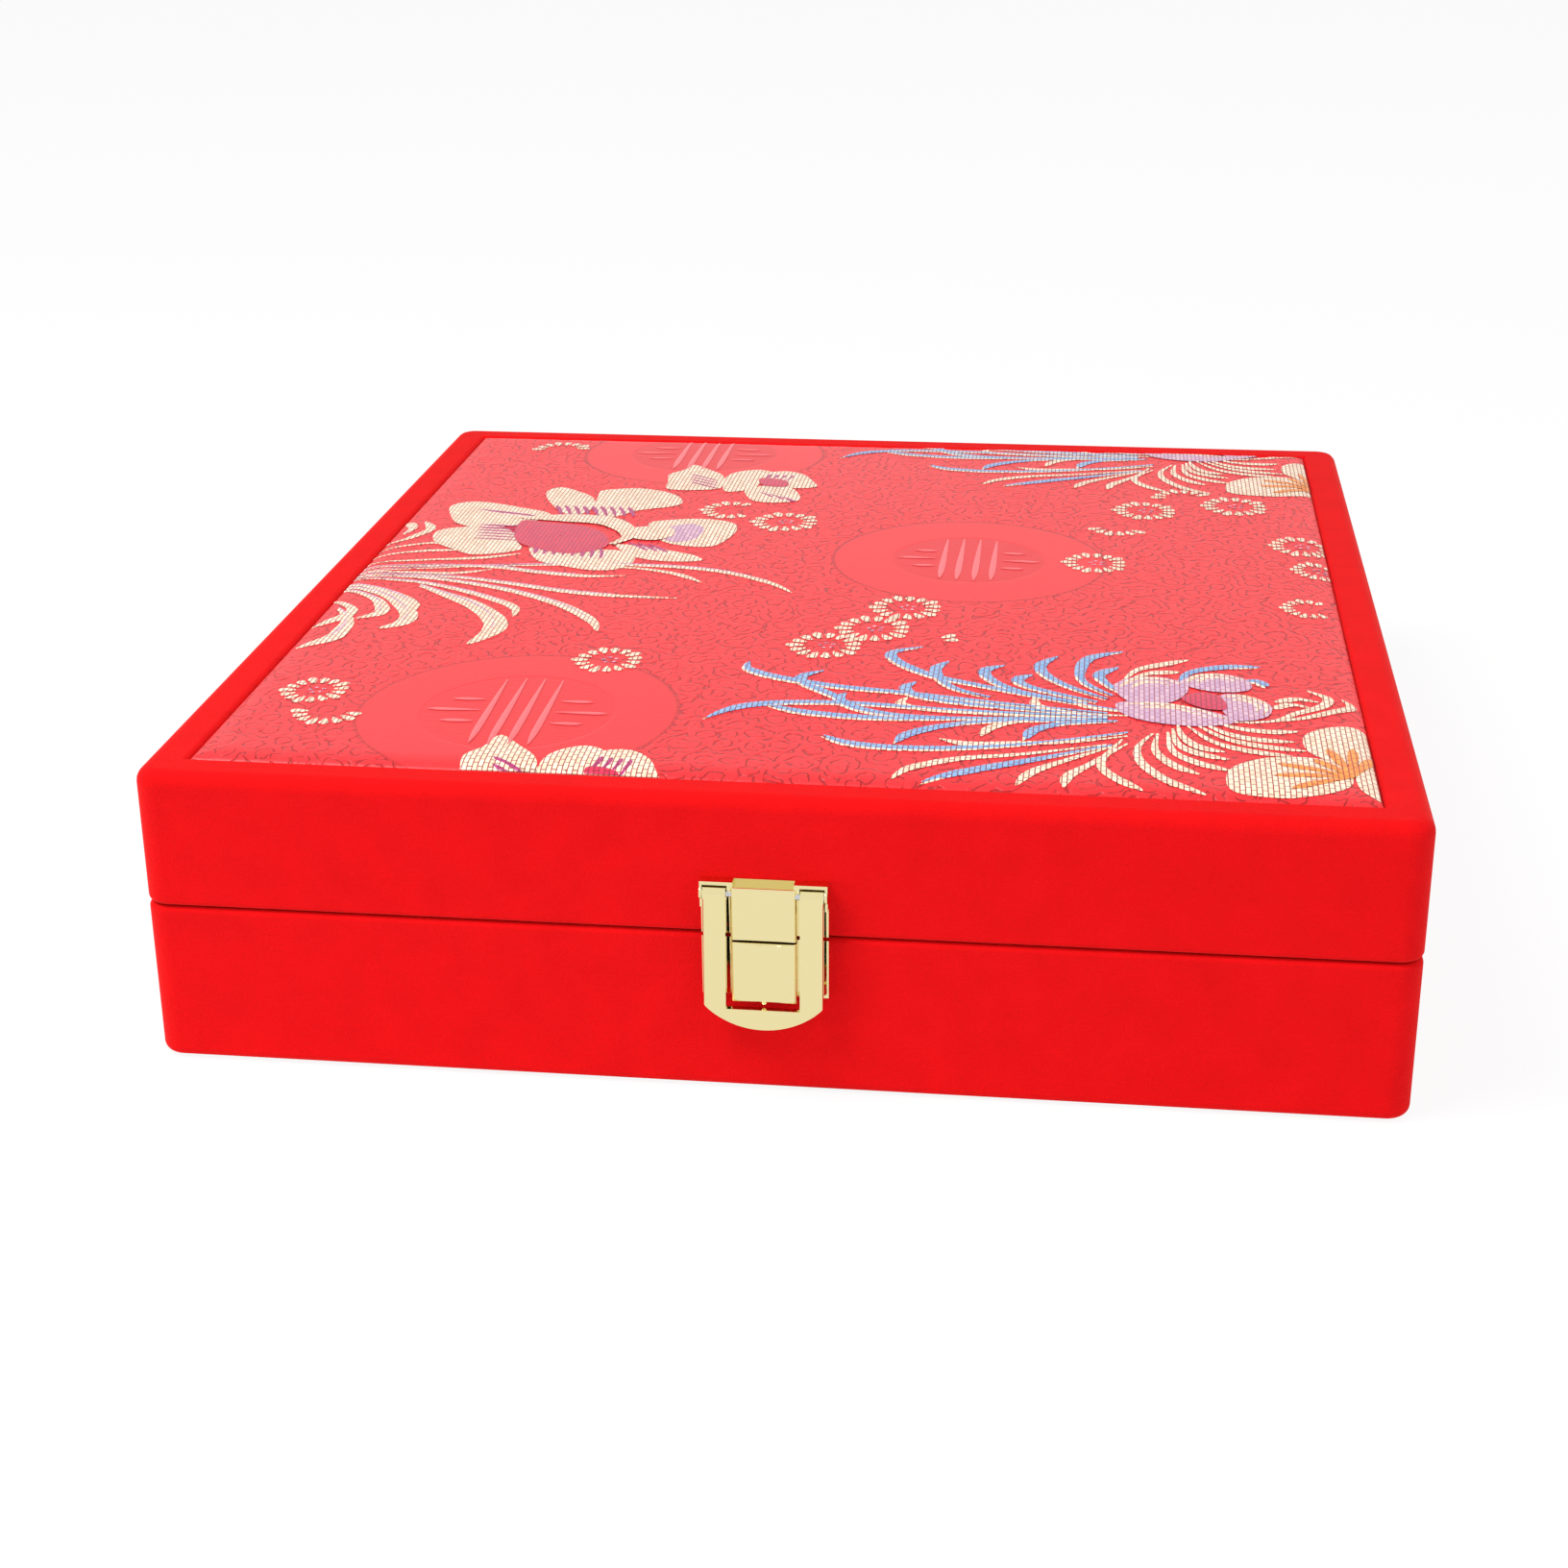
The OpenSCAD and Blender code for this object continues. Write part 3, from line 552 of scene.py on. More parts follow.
@dataclass
class CrownedPad:
    """Padded panel in the place of a CAD soft solid: rolled edges, a crown, and puckers along its sides.

    Sizes are in millimetres. A pucker fades out over pucker_reach, and along a side it follows three waves,
    each with its turns in radians for a millimetre and its start.
    """

    node: str
    name: str
    roll: float
    crown: float
    downward: bool = False
    roll_w: float = 6.0
    pucker: float = 0.16
    pucker_reach: float = 4.5
    waves: tuple[Point, ...] = ((0.47, 1.3), (0.19, 0.4), (0.83, 2.1))
    short_wave: float = 0.6
    steps: int = 150

    def __post_init__(self) -> None:
        """Takes the pad's place from the frame."""
        low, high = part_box(self.node)
        self.low, self.high = np.array(low) / MM, np.array(high) / MM
        self.middle = (self.low + self.high) / 2
        self.half = (self.high - self.low) / 2

    def height(self, x: np.ndarray, y: np.ndarray) -> np.ndarray:
        """Gives the height of the face over each place.

        Args:
            x: Places across, in millimetres.
            y: Places front to back.

        Returns:
            Heights in millimetres.
        """
        dx, dy = x - self.middle[0], y - self.middle[1]
        gap_x, gap_y = self.half[0] - np.abs(dx), self.half[1] - np.abs(dy)
        inset = np.clip(np.minimum(gap_x, gap_y), 0, None)
        part = np.clip(inset / self.roll_w, 0, 1)
        rise = self.roll * np.sqrt(np.clip(1 - (1 - part) ** 2, 0, 1))
        rise += self.crown * (1 - (dx / self.half[0]) ** 2) * (1 - (dy / self.half[1]) ** 2)
        along = np.where(gap_x < gap_y, dy, dx)
        first, second, third = (np.sin(along * turns + start) for turns, start in self.waves)
        ripple = first * second + self.short_wave * third
        rise -= self.pucker * (1 + ripple) * part * np.exp(-inset / self.pucker_reach)
        top = self.roll + self.crown
        if self.downward:
            return self.low[2] + top - rise
        return self.high[2] - top + rise

    def make(self, material: bpy.types.Material, body: str, *replaced: str) -> bpy.types.Object:
        """Builds the pad as a closed mesh.

        Args:
            material: Its cloth.
            body: Body that it rides on.
            *replaced: CAD nodes that it stands for.

        Returns:
            The pad.
        """
        spread = np.linspace(-1, 1, self.steps)
        eased = np.sign(spread) * (1 - (1 - np.abs(spread)) ** 1.5)
        xs, ys = self.middle[0] + self.half[0] * eased, self.middle[1] + self.half[1] * eased
        gx, gy = np.meshgrid(xs, ys)
        face = np.stack([gx, gy, self.height(gx, gy)], -1).reshape(-1, 3)
        back_z = self.high[2] if self.downward else self.low[2]
        n = self.steps
        quads = [(j * n + i, j * n + i + 1, (j + 1) * n + i + 1, (j + 1) * n + i)
                 for j in range(n - 1) for i in range(n - 1)]
        rim = ([i for i in range(n)] + [j * n + n - 1 for j in range(1, n)]
               + [(n - 1) * n + i for i in range(n - 2, -1, -1)] + [j * n for j in range(n - 2, 0, -1)])
        foot = [(face[i][0], face[i][1], back_z) for i in rim]
        points = np.vstack([face, foot])
        count = len(rim)
        start = n * n
        sides = [(rim[i], start + i, start + (i + 1) % count, rim[(i + 1) % count]) for i in range(count)]
        quads += sides + [tuple(range(start + count - 1, start - 1, -1))]
        if self.downward:
            quads = [tuple(reversed(q)) for q in quads]
        piece = add_piece(self.name, points, quads, material, body)
        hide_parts(*replaced)
        return piece


def smooth_path(points: Path, closed: bool, steps: int = 7) -> np.ndarray:
    """Runs a smooth curve through the points.

    Args:
        points: Points in millimetres.
        closed: Whether the curve joins up.
        steps: Points on each stretch.

    Returns:
        The points of the curve.
    """
    pts = np.array(points, float)
    count = len(pts)
    out = []
    for i in range(count if closed else count - 1):
        if closed:
            p0, p1, p2, p3 = (pts[(i + k) % count] for k in (-1, 0, 1, 2))
        else:
            p0, p1, p2, p3 = pts[max(i - 1, 0)], pts[i], pts[i + 1], pts[min(i + 2, count - 1)]
        for t in np.linspace(0, 1, steps, endpoint=False):
            out.append(0.5 * (2 * p1 + (p2 - p0) * t + (2 * p0 - 5 * p1 + 4 * p2 - p3) * t ** 2
                              + (3 * p1 - p0 - 3 * p2 + p3) * t ** 3))
    if not closed:
        out.append(pts[-1])
    return np.array(out)


class Colour(Enum):
    """Colours of floss in the brocade."""

    CREAM = "cream"
    BLUE = "blue"
    LILAC = "lilac"
    MAGENTA = "magenta"
    ORANGE = "orange"
    CRIMSON = "crimson"
    SATIN = "satin"


# The fourth colour of a floss is its gap: the ground between the floats, darkened with painted shade.
FLOSS = {
    Colour.CREAM: FlossFloats("cream floss", "F6E6CC", "E6CDAE"),
    Colour.BLUE: FlossFloats("blue floss", "6FA2D6", "8FB2D8", "7A3A5C"),
    Colour.LILAC: FlossFloats("lilac floss", "D9B4C4", "C49ABB", "A8506A"),
    Colour.MAGENTA: FlossFloats("magenta floss", "B8287A", "A82068", "8C1040"),
    Colour.ORANGE: FlossFloats("orange floss", "F29A3C", "E6842A", "B02818"),
    Colour.CRIMSON: FlossFloats("crimson floss", "D81E48", "C8184C", "9C0C30"),
    Colour.SATIN: Satin("red satin bars", "FA6468", "F04C52", 0.5, 0.36),
}


@dataclass
class Brocade:
    """Figures of the cloth: bands and petals of floss that lie on the pad.

    Sizes are in millimetres. A band swells up to full width over root_share of its length and tapers over
    taper_share at its end. A petal is filled by the rings in petal_rings, as shares of its outline.
    """

    pad: CrownedPad
    lift: float = 0.1
    margin: float = 0.25
    band_dome: float = 0.1
    petal_dome: float = 0.12
    columns: int = 5
    root_share: float = 0.22
    taper_share: float = 0.6
    petal_rings: tuple[float, ...] = (0.02, 0.25, 0.5, 0.72, 0.9, 1.0)

    def __post_init__(self) -> None:
        """Starts with no figures."""
        self.points: dict[Colour, list] = {c: [] for c in Colour}
        self.faces: dict[Colour, list] = {c: [] for c in Colour}

    def lay(self, colour: Colour, flat: np.ndarray, rows: int, columns: int, raise_by: np.ndarray,
            closed: bool) -> None:
        """Lays a grid of points on the pad and joins it with faces.

        Args:
            colour: Floss of the figure.
            flat: Places of the points, row by row.
            rows: Number of rows.
            columns: Points in each row.
            raise_by: Height of each point over the cloth.
            closed: Whether each row joins up.
        """
        room = self.pad.half[:2] - self.margin
        flat = np.clip(flat, self.pad.middle[:2] - room, self.pad.middle[:2] + room)
        z = self.pad.height(flat[:, 0], flat[:, 1]) + raise_by
        start = len(self.points[colour])
        self.points[colour] += [(x, y, h) for (x, y), h in zip(flat, z)]
        wide = columns if closed else columns - 1
        for j in range(rows - 1):
            for i in range(wide):
                k = (i + 1) % columns
                self.faces[colour].append((start + j * columns + i, start + j * columns + k,
                                           start + (j + 1) * columns + k, start + (j + 1) * columns + i))

    def inside(self, flat: np.ndarray) -> bool:
        """Says whether any of the points is on the pad."""
        away = np.abs(flat - self.pad.middle[:2])
        return bool(np.any(np.all(away < self.pad.half[:2] - 0.3, axis=1)))

    def band(self, colour: Colour, path: Path, width: float, shift: Point = (0, 0),
             lift: float = 0.0) -> None:
        """Lays a band that swells and tapers along a curve.

        Args:
            colour: Floss of the band.
            path: Points of its middle line.
            width: Its greatest width.
            shift: Offset of the repeat.
            lift: Extra height over the cloth.
        """
        line = smooth_path(path, False) + np.array(shift)
        if not self.inside(line):
            return
        along = np.gradient(line, axis=0)
        side = np.stack([-along[:, 1], along[:, 0]], -1)
        side /= np.linalg.norm(side, axis=1)[:, None] + 1e-9
        t = np.linspace(0, 1, len(line))
        root = np.clip(t / self.root_share, 0.03, 1) ** 0.7
        taper = np.clip((1 - t) / self.taper_share, 0.12, 1) ** 0.6
        spread = np.linspace(-0.5, 0.5, self.columns)
        across = spread[None, :, None] * (width * (root * taper))[:, None, None]
        flat = line[:, None, :] + side[:, None, :] * across
        dome = self.lift + lift + self.band_dome * (1 - (2 * spread) ** 2)
        self.lay(colour, flat.reshape(-1, 2), len(line), self.columns, np.tile(dome, len(line)), False)

    def petal(self, colour: Colour, outline: Path, shift: Point = (0, 0), lift: float = 0.0) -> None:
        """Fills a smooth outline with floss.

        Args:
            colour: Floss of the petal.
            outline: Points round the petal.
            shift: Offset of the repeat.
            lift: Extra height over the cloth.
        """
        edge = smooth_path(outline, True, 5) + np.array(shift)
        if not self.inside(edge):
            return
        middle = edge.mean(axis=0)
        shares = np.array(self.petal_rings)
        flat = (middle + (edge - middle)[None] * shares[:, None, None]).reshape(-1, 2)
        dome = self.petal_dome * np.sqrt(1 - shares ** 2 * 0.98)
        raise_by = np.repeat(self.lift + lift + dome, len(edge))
        self.lay(colour, flat, len(shares), len(edge), raise_by, True)

    def teeth(self, colour: Colour, start: Point, end: Point, count: int, reach: Point,
              shift: Point = (0, 0)) -> None:
        """Lays a row of short pointed bands, as at the root of a petal.

        Args:
            colour: Floss of the bands.
            start: Foot of the first band.
            end: Foot of the last band.
            count: Number of bands.
            reach: From the foot of each band to its tip.
            shift: Offset of the repeat.
        """
        for t in np.linspace(0, 1, count):
            x, y = start[0] + (end[0] - start[0]) * t, start[1] + (end[1] - start[1]) * t
            far = (x + reach[0], y + reach[1])
            half = (x + reach[0] * 0.5 + 0.3, y + reach[1] * 0.5)
            self.band(colour, (far, half, (x, y)), 1.3, shift, 0.06)

    def blossom(self, middle: Point, radius: float, first: float = 0.0, last: float = 360.0) -> None:
        """Lays a plum blossom of five open petals, or part of one.

        Args:
            middle: Middle of the blossom.
            radius: Its radius.
            first: Bearing where it starts, in degrees.
            last: Bearing where it ends.
        """
        strokes, first_bearing, lean_deg = 15, 14.0, 4.0
        side_tip, waist, root = 0.9, 0.76, 0.52
        for k in range(strokes):
            bearing = 360.0 * k / strokes + first_bearing
            if not first <= bearing % 360.0 <= last:
                continue
            place = k % 3
            outer = radius * (1.0 if place == 1 else side_tip)
            inner = radius * root
            lean = math.radians(bearing + (place - 1) * -lean_deg)
            turn = math.radians(bearing)
            path = tuple((middle[0] + reach * math.cos(angle), middle[1] + reach * math.sin(angle))
                         for reach, angle in ((outer, lean), (waist * radius, turn), (inner, turn)))
            self.band(Colour.CREAM, path, 0.26 * radius)
        if last - first > 300:
            stamens, ring = 5, 1.5
            for k in range(stamens):
                turn = math.radians(360 / stamens * k + 30)
                spot = (middle[0] + ring * math.cos(turn), middle[1] + ring * math.sin(turn))
                self.band(Colour.LILAC, (spot, (spot[0] + 0.9, spot[1] + 0.2)), 0.7)

    def weave(self) -> None:
        """Turns the laid figures into one piece for each colour of floss."""
        for colour in Colour:
            if self.faces[colour]:
                add_piece(f"brocade_{colour.value}_floss", self.points[colour], self.faces[colour],
                          FLOSS[colour].make(), "lid")


@dataclass
class Garden:
    """Where the flowers, leaves and roundels of the cloth lie, in millimetres on the pad."""

    cloth: Brocade
    repeat: Point = (6.5, 206.0)

    def chrysanthemum(self, shift: Point) -> None:
        """Lays the long-petalled chrysanthemum with the orange-hearted flower beside it.

        Args:
            shift: Offset of the repeat.
        """
        blue = (
            ((24, -51.5), (17.5, -56), (19.5, -62), (27, -69), (36, -73), (50, -78.5), (66, -84)),
            ((30, -60), (27.5, -65), (29, -71), (32.5, -76), (40, -80)),
            ((42, -61), (38, -64.5), (39.5, -70), (46, -76), (60, -81)),
            ((53, -54), (49.5, -60), (51, -66), (56, -72), (64, -78)),
            ((67, -49), (60, -54), (58, -62), (59, -69), (65, -76)),
            ((66, -59), (62, -64), (63.5, -69), (67, -74)),
            ((-12.5, -64.5), (-12, -69), (-5, -73.5), (8, -77.5), (22, -79.5), (42, -83), (64, -86)),
            ((4, -68.5), (0, -72), (1, -76.5), (8, -83), (14, -90), (26, -93.5)),
            ((10, -81), (9, -84.5), (13, -89), (22, -92), (36, -92)),
            ((24, -73), (22, -77), (26, -81.5), (40, -85), (62, -87)),
            ((48, -66), (45, -69.5), (49, -74), (62, -80)),
            ((-17, -97.5), (-12, -91.5), (-4, -88), (12, -86.5), (34, -88), (64, -88)),
            ((-5, -89), (3, -92.5), (18, -94), (38, -92), (64, -89)),
            ((22.5, -106.5), (24.5, -102), (31, -97), (42, -93), (64, -90)),
            ((8, -104), (13, -107.5), (23, -109), (37, -107.5), (52, -103), (68, -96)),
            ((29, -124), (40, -117.5), (52, -111), (65, -103)),
            ((48, -102), (49.5, -97), (55, -93), (66, -90)),
            ((96, -54), (88, -55.5), (81, -60), (78.5, -67)),
            ((97, -66), (94.5, -63), (91, -64.5)),
        )
        for path in blue:
            self.cloth.band(Colour.BLUE, path, 2.7, shift, 0.04)
            self.cloth.band(Colour.CREAM, tuple((x - 0.5, y - 0.9) for x, y in path), 1.3, shift)
        cream = (
            ((23, -82), (22, -86), (29, -88.5), (46, -89.5), (64, -88.5)),
            ((31, -103.5), (37, -105.5), (48, -104), (58, -102), (68, -98)),
            ((23, -123.5), (27, -118), (36, -113), (48, -109.5), (64, -103)),
            ((47, -124), (50, -118), (56, -112), (66, -103)),
            ((56, -124), (57, -119), (61, -113), (68, -102)),
            ((71, -124), (65.5, -119), (63, -112), (67, -100)),
            ((83, -124.5), (76, -120), (71, -112), (70, -104), (73, -96)),
            ((82, -116), (77, -112), (73.5, -105), (74, -96)),
            ((88, -113.5), (82, -110.5), (77, -105), (76, -95)),
            ((88, -108), (82, -105.5), (78, -101), (77, -93)),
            ((87, -104), (82, -102), (79, -97), (78, -91)),
            ((100, -104.5), (92, -103), (85, -99), (80, -91)),
            ((103, -101.5), (94, -100), (87, -96.5), (81, -89)),
            ((101, -97), (93, -96.5), (87, -93.5), (82, -87)),
            ((102, -91), (96, -92), (89, -90.5), (83, -85)),
            ((105, -67), (109, -71), (107.5, -76), (102, -81), (97, -86), (88, -88)),
            ((112, -71), (113.5, -75), (108, -80), (102, -84), (92, -88)),
            ((98, -75), (102.5, -72.5), (107, -73.5)),
            ((97.5, -79), (101, -76), (105, -77)),
            ((39, -101.5), (41, -96.5), (47, -92.5), (60, -90)),
            ((81, -52), (75, -56), (70, -60), (67, -67)),
            ((79, -60), (73, -61.5), (69, -65)),
            ((57, -79), (60, -83), (68, -85)),
            ((49, -79), (50, -84), (58, -87), (68, -87)),
        )
        for path in cream:
            self.cloth.band(Colour.CREAM, path, 2.3, shift, 0.02)
        heart = (
            ((65, -71), (69, -65), (75, -64), (80, -67), (80, -73), (76, -79), (69, -80)),
            ((79, -67), (82, -61.5), (88, -60), (93, -63), (93, -69), (86, -71)),
            ((87, -73), (92, -72), (97, -77), (96, -84), (90, -87), (87, -81)),
            ((66, -80), (74, -79), (82, -81), (90, -87), (83, -91), (73, -90), (67, -86)),
        )
        for outline in heart:
            self.cloth.petal(Colour.LILAC, outline, shift, 0.1)
            middle = np.mean(outline, axis=0)
            for share in (0.55, 0.85):
                arc = tuple(tuple(middle + (np.array(p) - middle) * share) for p in outline[:4])
                self.cloth.band(Colour.CREAM, arc, 1.5, shift, 0.2)
        self.cloth.petal(Colour.CRIMSON, ((79, -76), (83, -72), (87, -74), (88, -81), (83, -81)), shift, 0.2)
        petals = (
            ((87, -121), (88, -112), (95, -106), (104, -105), (110, -109), (110, -119), (101, -124),
             (91, -124)),
            ((103, -101), (103, -93), (108, -88), (114, -87), (117, -93), (117, -101), (112, -107),
             (107, -106)),
            ((112, -110), (117, -105), (117, -123), (112, -120)),
        )
        for outline in petals:
            self.cloth.petal(Colour.CREAM, outline, shift)
        root = (111, -114)
        for tip in ((97, -109), (96, -115), (99, -121), (104, -106), (107, -100), (112, -99), (116, -102)):
            halfway = ((tip[0] + root[0]) / 2, (tip[1] + root[1]) / 2 + 0.4)
            self.cloth.band(Colour.ORANGE, (tip, halfway, root), 2.2, shift, 0.16)

    def small_peony(self, shift: Point) -> None:
        """Lays the smaller peony.

        Args:
            shift: Offset of the repeat.
        """
        petals = (
            ((-50, 96), (-45, 91), (-40, 84), (-39, 72), (-46, 69), (-53, 70), (-54, 77), (-55, 85),
             (-52, 90)),
            ((-39, 85), (-36, 90), (-31, 92), (-27, 88), (-29, 78), (-31, 71), (-37, 68), (-39, 76)),
            ((-30, 88), (-24, 91), (-19, 88), (-16, 82), (-14, 75), (-20, 73), (-25, 76), (-29, 81)),
            ((-32, 71), (-26, 76), (-21, 74), (-18, 68), (-17, 61), (-22, 58), (-28, 59), (-31, 64)),
        )
        for outline in petals:
            self.cloth.petal(Colour.CREAM, outline, shift)
        self.cloth.petal(Colour.CRIMSON, ((-30, 82), (-25, 82), (-22, 79), (-22, 74), (-28, 75)), shift, 0.12)
        self.cloth.teeth(Colour.MAGENTA, (-29, 81), (-23, 80), 4, (1.5, 6), shift)
        self.cloth.teeth(Colour.MAGENTA, (-41, 79), (-40, 71), 4, (-8, 6), shift)
        self.cloth.teeth(Colour.MAGENTA, (-28, 68), (-22, 64), 3, (4, -5), shift)

    def great_peony(self) -> None:
        """Lays the great peony."""
        petals = (
            ((-84, 62), (-84, 68), (-81, 70), (-76, 66), (-71, 60), (-69, 50), (-73, 43), (-79, 50)),
            ((-70, 62), (-70, 67), (-66, 69), (-61, 70), (-55, 68), (-50, 64), (-47, 58), (-48, 53),
             (-57, 48), (-62, 42), (-68, 46)),
            ((-107, 51), (-104, 55), (-98, 55), (-88, 50), (-79, 44), (-84, 35), (-93, 31), (-101, 35),
             (-105, 43)),
            ((-105, 27), (-102, 31), (-94, 32), (-86, 29), (-82, 19), (-80, 12), (-90, 8), (-97, 13),
             (-103, 19)),
            ((-78, 15), (-71, 12), (-62, 13), (-52, 11), (-50, 3), (-53, -3), (-58, -4), (-62, -3),
             (-68, 0), (-74, 4)),
            ((-57, 17), (-49, 16), (-43, 13), (-36, 9), (-34, 5), (-42, 4), (-50, 7)),
            ((-52, 36), (-46, 40), (-38, 41), (-31, 38), (-29, 32), (-30, 24), (-33, 17), (-40, 17),
             (-47, 22)),
        )
        for outline in petals:
            self.cloth.petal(Colour.CREAM, outline)
        shade = ((-46, 33), (-41, 36), (-37, 32), (-38, 23), (-43, 20), (-47, 25))
        heart = ((-85, 37), (-78, 36), (-68, 33), (-61, 25), (-59, 15), (-66, 9), (-76, 13), (-83, 21))
        curl = ((-86, 40), (-74, 40), (-64, 38), (-58, 32), (-55, 24), (-58, 17))
        tip = ((-55, 31), (-50, 33), (-45, 31), (-44, 25), (-48, 21), (-54, 23))
        self.cloth.petal(Colour.LILAC, shade, lift=0.08)
        self.cloth.petal(Colour.CRIMSON, heart, lift=0.12)
        self.cloth.band(Colour.CREAM, curl, 7.0, lift=0.2)
        self.cloth.petal(Colour.CREAM, tip, lift=0.2)
        self.cloth.teeth(Colour.MAGENTA, (-76, 43), (-57, 42), 9, (-3, 9))
        self.cloth.teeth(Colour.MAGENTA, (-77, 18), (-60, 14), 8, (1.5, -9))
        self.cloth.teeth(Colour.MAGENTA, (-83, 32), (-82, 20), 6, (-12, 2))
        self.cloth.teeth(Colour.MAGENTA, (-84, 43), (-80, 41), 3, (-15, 5))
        self.cloth.teeth(Colour.MAGENTA, (-54, 19), (-49, 18), 3, (6, -7))

    def leaves(self) -> None:
        """Lays the fan of grass leaves that starts at the left edge."""
        blades = (
            (2.0, ((-9, -18), (-14, -12), (-24, -5), (-36, -1), (-55, 0.5), (-80, -1), (-116, -5))),
            (1.8, ((-31, -12), (-38, -6), (-48, -2), (-60, -1))),
            (2.0, ((-50, -8), (-60, -8.5), (-71, -6), (-82, -2.5), (-97, -1), (-116, -2))),
            (2.2, ((-35, -24), (-50, -23), (-63, -20), (-76, -15), (-92, -10), (-116, -7))),
            (2.8, ((-49, -48), (-51, -42), (-57, -34), (-66, -26), (-79, -18), (-97, -11), (-116, -8))),
            (2.4, ((-70, -39), (-71, -33), (-77, -27), (-87, -20), (-99, -14), (-116, -10))),
            (5.4, ((-76, -58), (-72.5, -49), (-74, -41), (-81, -31), (-90, -23), (-97, -17))),
            (4.2, ((-99, -48), (-94.5, -44), (-94.5, -38), (-99, -30), (-105, -23), (-116, -16))),
            (3.4, ((-94, -37), (-95.5, -31), (-100, -25), (-107, -19), (-116, -14))),
            (3.4, ((-106, -41), (-101.5, -37), (-103, -31), (-107, -25), (-116, -18))),
            (4.4, ((-114, -61), (-108, -55), (-107, -48), (-108, -41), (-112, -34))),
            (3.4, ((-115, -46), (-109.5, -40), (-109, -34), (-116, -26))),
            (2.6, ((-115, 38), (-112, 32), (-113, 26))),
            (2.6, ((-110, 37), (-107, 30), (-111, 22), (-116, 19))),
            (1.6, ((-97, 17), (-104, 18), (-116, 13))),
            (1.6, ((-95, 12), (-105, 11), (-116, 7))),
            (1.8, ((-79, 9), (-88, 5.5), (-100, 4), (-116, 2))),
            (1.6, ((-83, -4), (-92, -7), (-104, -6), (-116, -5))),
        )
        for width, path in blades:
            self.cloth.band(Colour.CREAM, path, width)
            inner = tuple((x - 0.4, y + 1.1) for x, y in path[1:])
            if len(inner) > 3:
                self.cloth.band(Colour.LILAC, inner, width * 0.45)

    def blossoms(self) -> None:
        """Scatters the plum blossoms."""
        for middle, radius in (((18, -26), 8.6), ((12, -41), 8.8), ((2.5, -53), 8.6), ((-43, -66), 8),
                               ((-101.5, -88), 7.8), ((60, 14), 8.2), ((72, 62), 8.6), ((95, 70), 9),
                               ((-18, 40), 9), ((110, 37), 8.4), ((113, 18), 7)):
            self.cloth.blossom(middle, radius)
        for middle, radius, first, last in (((-95, -100), 8, 180, 350), ((24, -48), 8, 0, 60),
                                            ((65, 46), 8.5, 190, 330), ((109, -12), 7, 60, 320),
                                            ((-90, 111), 8.5, 0, 200), ((82, 76), 8.5, 20, 200),
                                            ((-33, 50), 8.5, 60, 320)):
            self.cloth.blossom(middle, radius, first, last)

    def frets(self) -> None:
        """Lays the plain bars in the middle of each roundel."""
        bar_pitch, row_pitch, bar_gap = 4, 6, 8
        for x, y, _, inner in SilkGround().roundels:
            for k in (-1.5, -0.5, 0.5, 1.5):
                reach = inner * 0.9 * math.sqrt(1 - (k * 0.2) ** 2)
                bar = x + k * bar_pitch
                self.cloth.band(Colour.SATIN, ((bar, y - reach), (bar, y), (bar, y + reach)), 1.5)
            for side in (-1, 1):
                for k in (-1, 0, 1):
                    far = inner * (0.92 if k == 0 else 0.72)
                    row = y + k * row_pitch
                    path = ((x + side * far, row), (x + side * far * 0.7, row), (x + side * bar_gap, row))
                    self.cloth.band(Colour.SATIN, path, 1.4)

    def plant(self) -> None:
        """Lays every figure of the cloth."""
        back = self.repeat
        front = (-self.repeat[0], -self.repeat[1])
        self.frets()
        self.chrysanthemum((0, 0))
        self.chrysanthemum(back)
        self.small_peony((0, 0))
        self.small_peony(front)
        self.leaves()
        self.great_peony()
        self.blossoms()
        self.cloth.weave()


@dataclass
class EasedMetal:
    """A stamped or cast gilt piece: the frame's own shape with eased edges that catch the light."""

    node: str
    body: str
    ease_mm: float = 0.25
    sharp_deg: float = 32.0
    flat_deg: float = 0.5
    weld_mm: float = 0.002

    def make(self, material: bpy.types.Material) -> bpy.types.Object:
        """Builds the piece over its CAD node.

        Args:
            material: Its finish.

        Returns:
            The piece.
        """
        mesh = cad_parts[self.node].data.copy()
        work = bmesh.new()
        work.from_mesh(mesh)
        bmesh.ops.remove_doubles(work, verts=work.verts, dist=self.weld_mm * MM)
        bmesh.ops.dissolve_limit(work, angle_limit=math.radians(self.flat_deg), verts=work.verts,
                                 edges=work.edges)
        work.to_mesh(mesh)
        work.free()
        mesh.polygons.foreach_set("use_smooth", [True] * len(mesh.polygons))
        mesh.materials.clear()
        mesh.materials.append(material)
        piece = bpy.data.objects.new(f"{self.node}_eased", mesh)
        bpy.context.collection.objects.link(piece)
        bevel = piece.modifiers.new("eased edges", "BEVEL")
        bevel.limit_method = "ANGLE"
        bevel.angle_limit = math.radians(self.sharp_deg)
        bevel.width = self.ease_mm * MM
        bevel.segments = 3
        bevel.harden_normals = True
        flat = piece.modifiers.new("flat faces", "WEIGHTED_NORMAL")
        flat.mode = "FACE_AREA"
        flat.weight = 100
        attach(piece, self.body)
        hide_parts(self.node)
        return piece


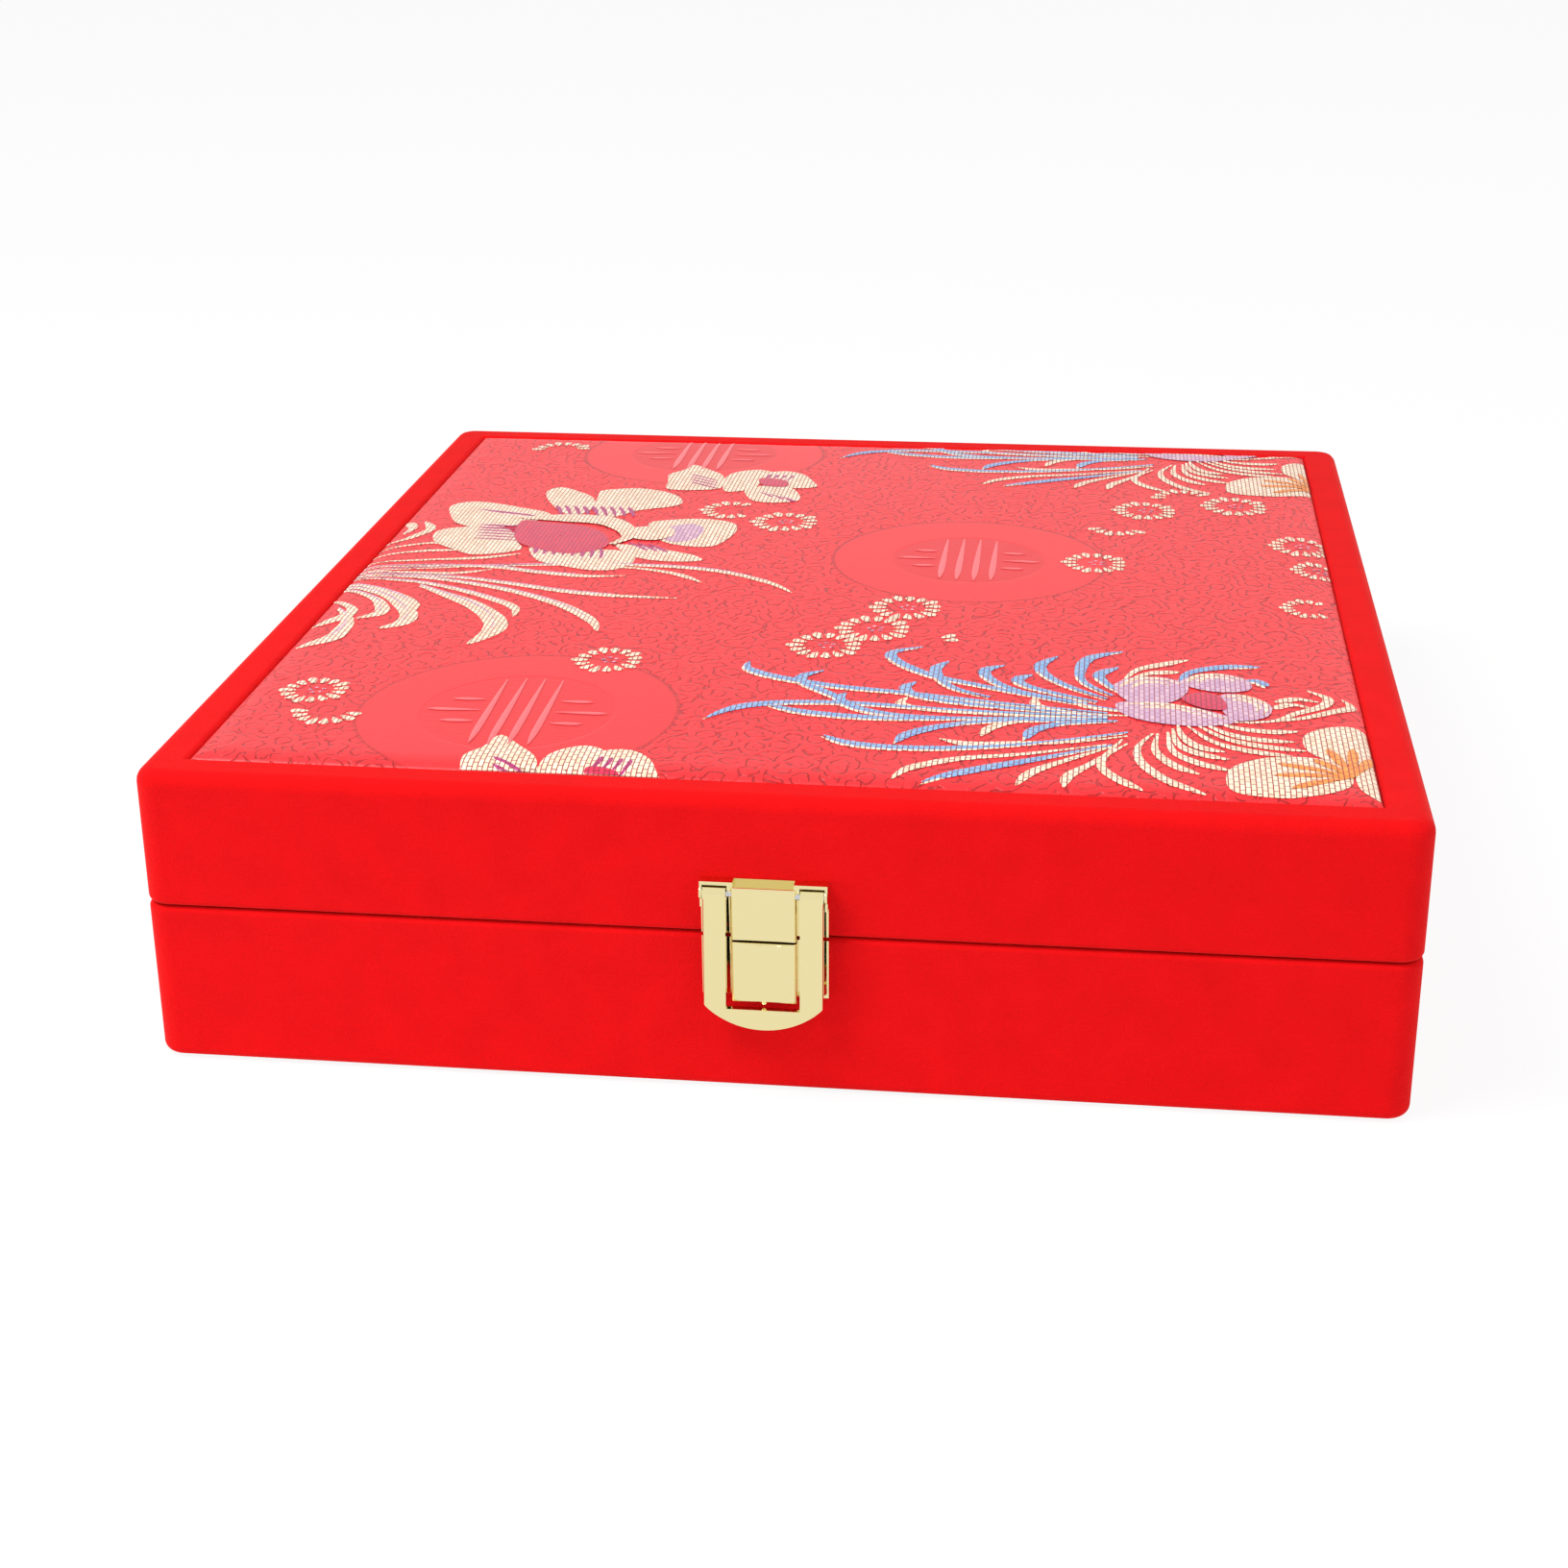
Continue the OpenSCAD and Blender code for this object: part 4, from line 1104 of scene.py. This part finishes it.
@dataclass
class Shell:
    """CAD nodes that keep their shape, by finish."""

    velvet: tuple[str, ...] = ("base_velvet", "lid_velvet")
    steel: tuple[str, ...] = ("latch_pin", "left_hinge_pin", "right_hinge_pin")
    soft: tuple[str, ...] = ("collar_", "lid_lining_")
    board: tuple[str, ...] = ("_wall", "_board", "rim_strip")

    def finish_of(self, name: str) -> str:
        """Names the finish of a CAD node.

        Args:
            name: Name of the node.

        Returns:
            Name of the finish.
        """
        if name in self.velvet:
            return "velvet"
        if name in self.steel:
            return "steel"
        if name.startswith(self.soft):
            return "satin"
        if name == "base_paper":
            return "paper"
        if name == "panel_card":
            return "card"
        if name == "panel_foam":
            return "foam"
        if any(part in name for part in self.board):
            return "board"
        return "gilt"

    def dress(self) -> None:
        """Gives each CAD node its material."""
        looks = {
            "velvet": FlockedVelvet().make(),
            "steel": PlatedMetal("drawn steel", "C9CACC", 0.18).make(),
            "satin": Satin().make(),
            "paper": PressedBoard("black backing paper", "3A3634", "2A2624", 1.2).make(),
            "card": PressedBoard("greyboard", "A8A49C", "8C8880", 0.8).make(),
            "foam": PressedBoard("upholstery foam", "F0E8C8", "DCD0A8", 1.5).make(),
            "board": PressedBoard("fibreboard", "B08A5C", "8C6A42", 0.9).make(),
            "gilt": PlatedMetal("gilt zinc", "E9DCA6", 0.07).make(),
        }
        for name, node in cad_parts.items():
            node.data.materials.clear()
            node.data.materials.append(looks[self.finish_of(name)])
        for name, body in (("latch_plate", "lid"), ("catch_plate", "base"), ("bail", "bail")):
            EasedMetal(name, body).make(looks["gilt"])


def main() -> None:
    """Builds the scene in order and reports each piece."""
    logging.basicConfig(level=logging.INFO, format="%(message)s")
    studio = Studio()
    studio.place_camera()
    studio.light()
    Shell().dress()
    log.info("dressed %d CAD nodes", len(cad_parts))
    panel = CrownedPad("brocade_cloth", "brocade_pad", 1.6, 2.2, steps=220)
    panel.make(SilkGround().make(), "lid", "brocade_cloth")
    Garden(Brocade(panel)).plant()
    log.info("laid the brocade")
    lining = Satin("cushion satin").make()
    CrownedPad("floor_cushion", "floor_pad", 1.4, 1.5, pucker=0.3).make(lining, "base", "floor_cushion")
    ceiling = CrownedPad("ceiling_cushion", "ceiling_pad", 1.4, 1.2, downward=True, pucker=0.3)
    ceiling.make(lining, "lid", "ceiling_cushion")
    log.info("filled the cushions")


if __name__ == "__main__":
    main()
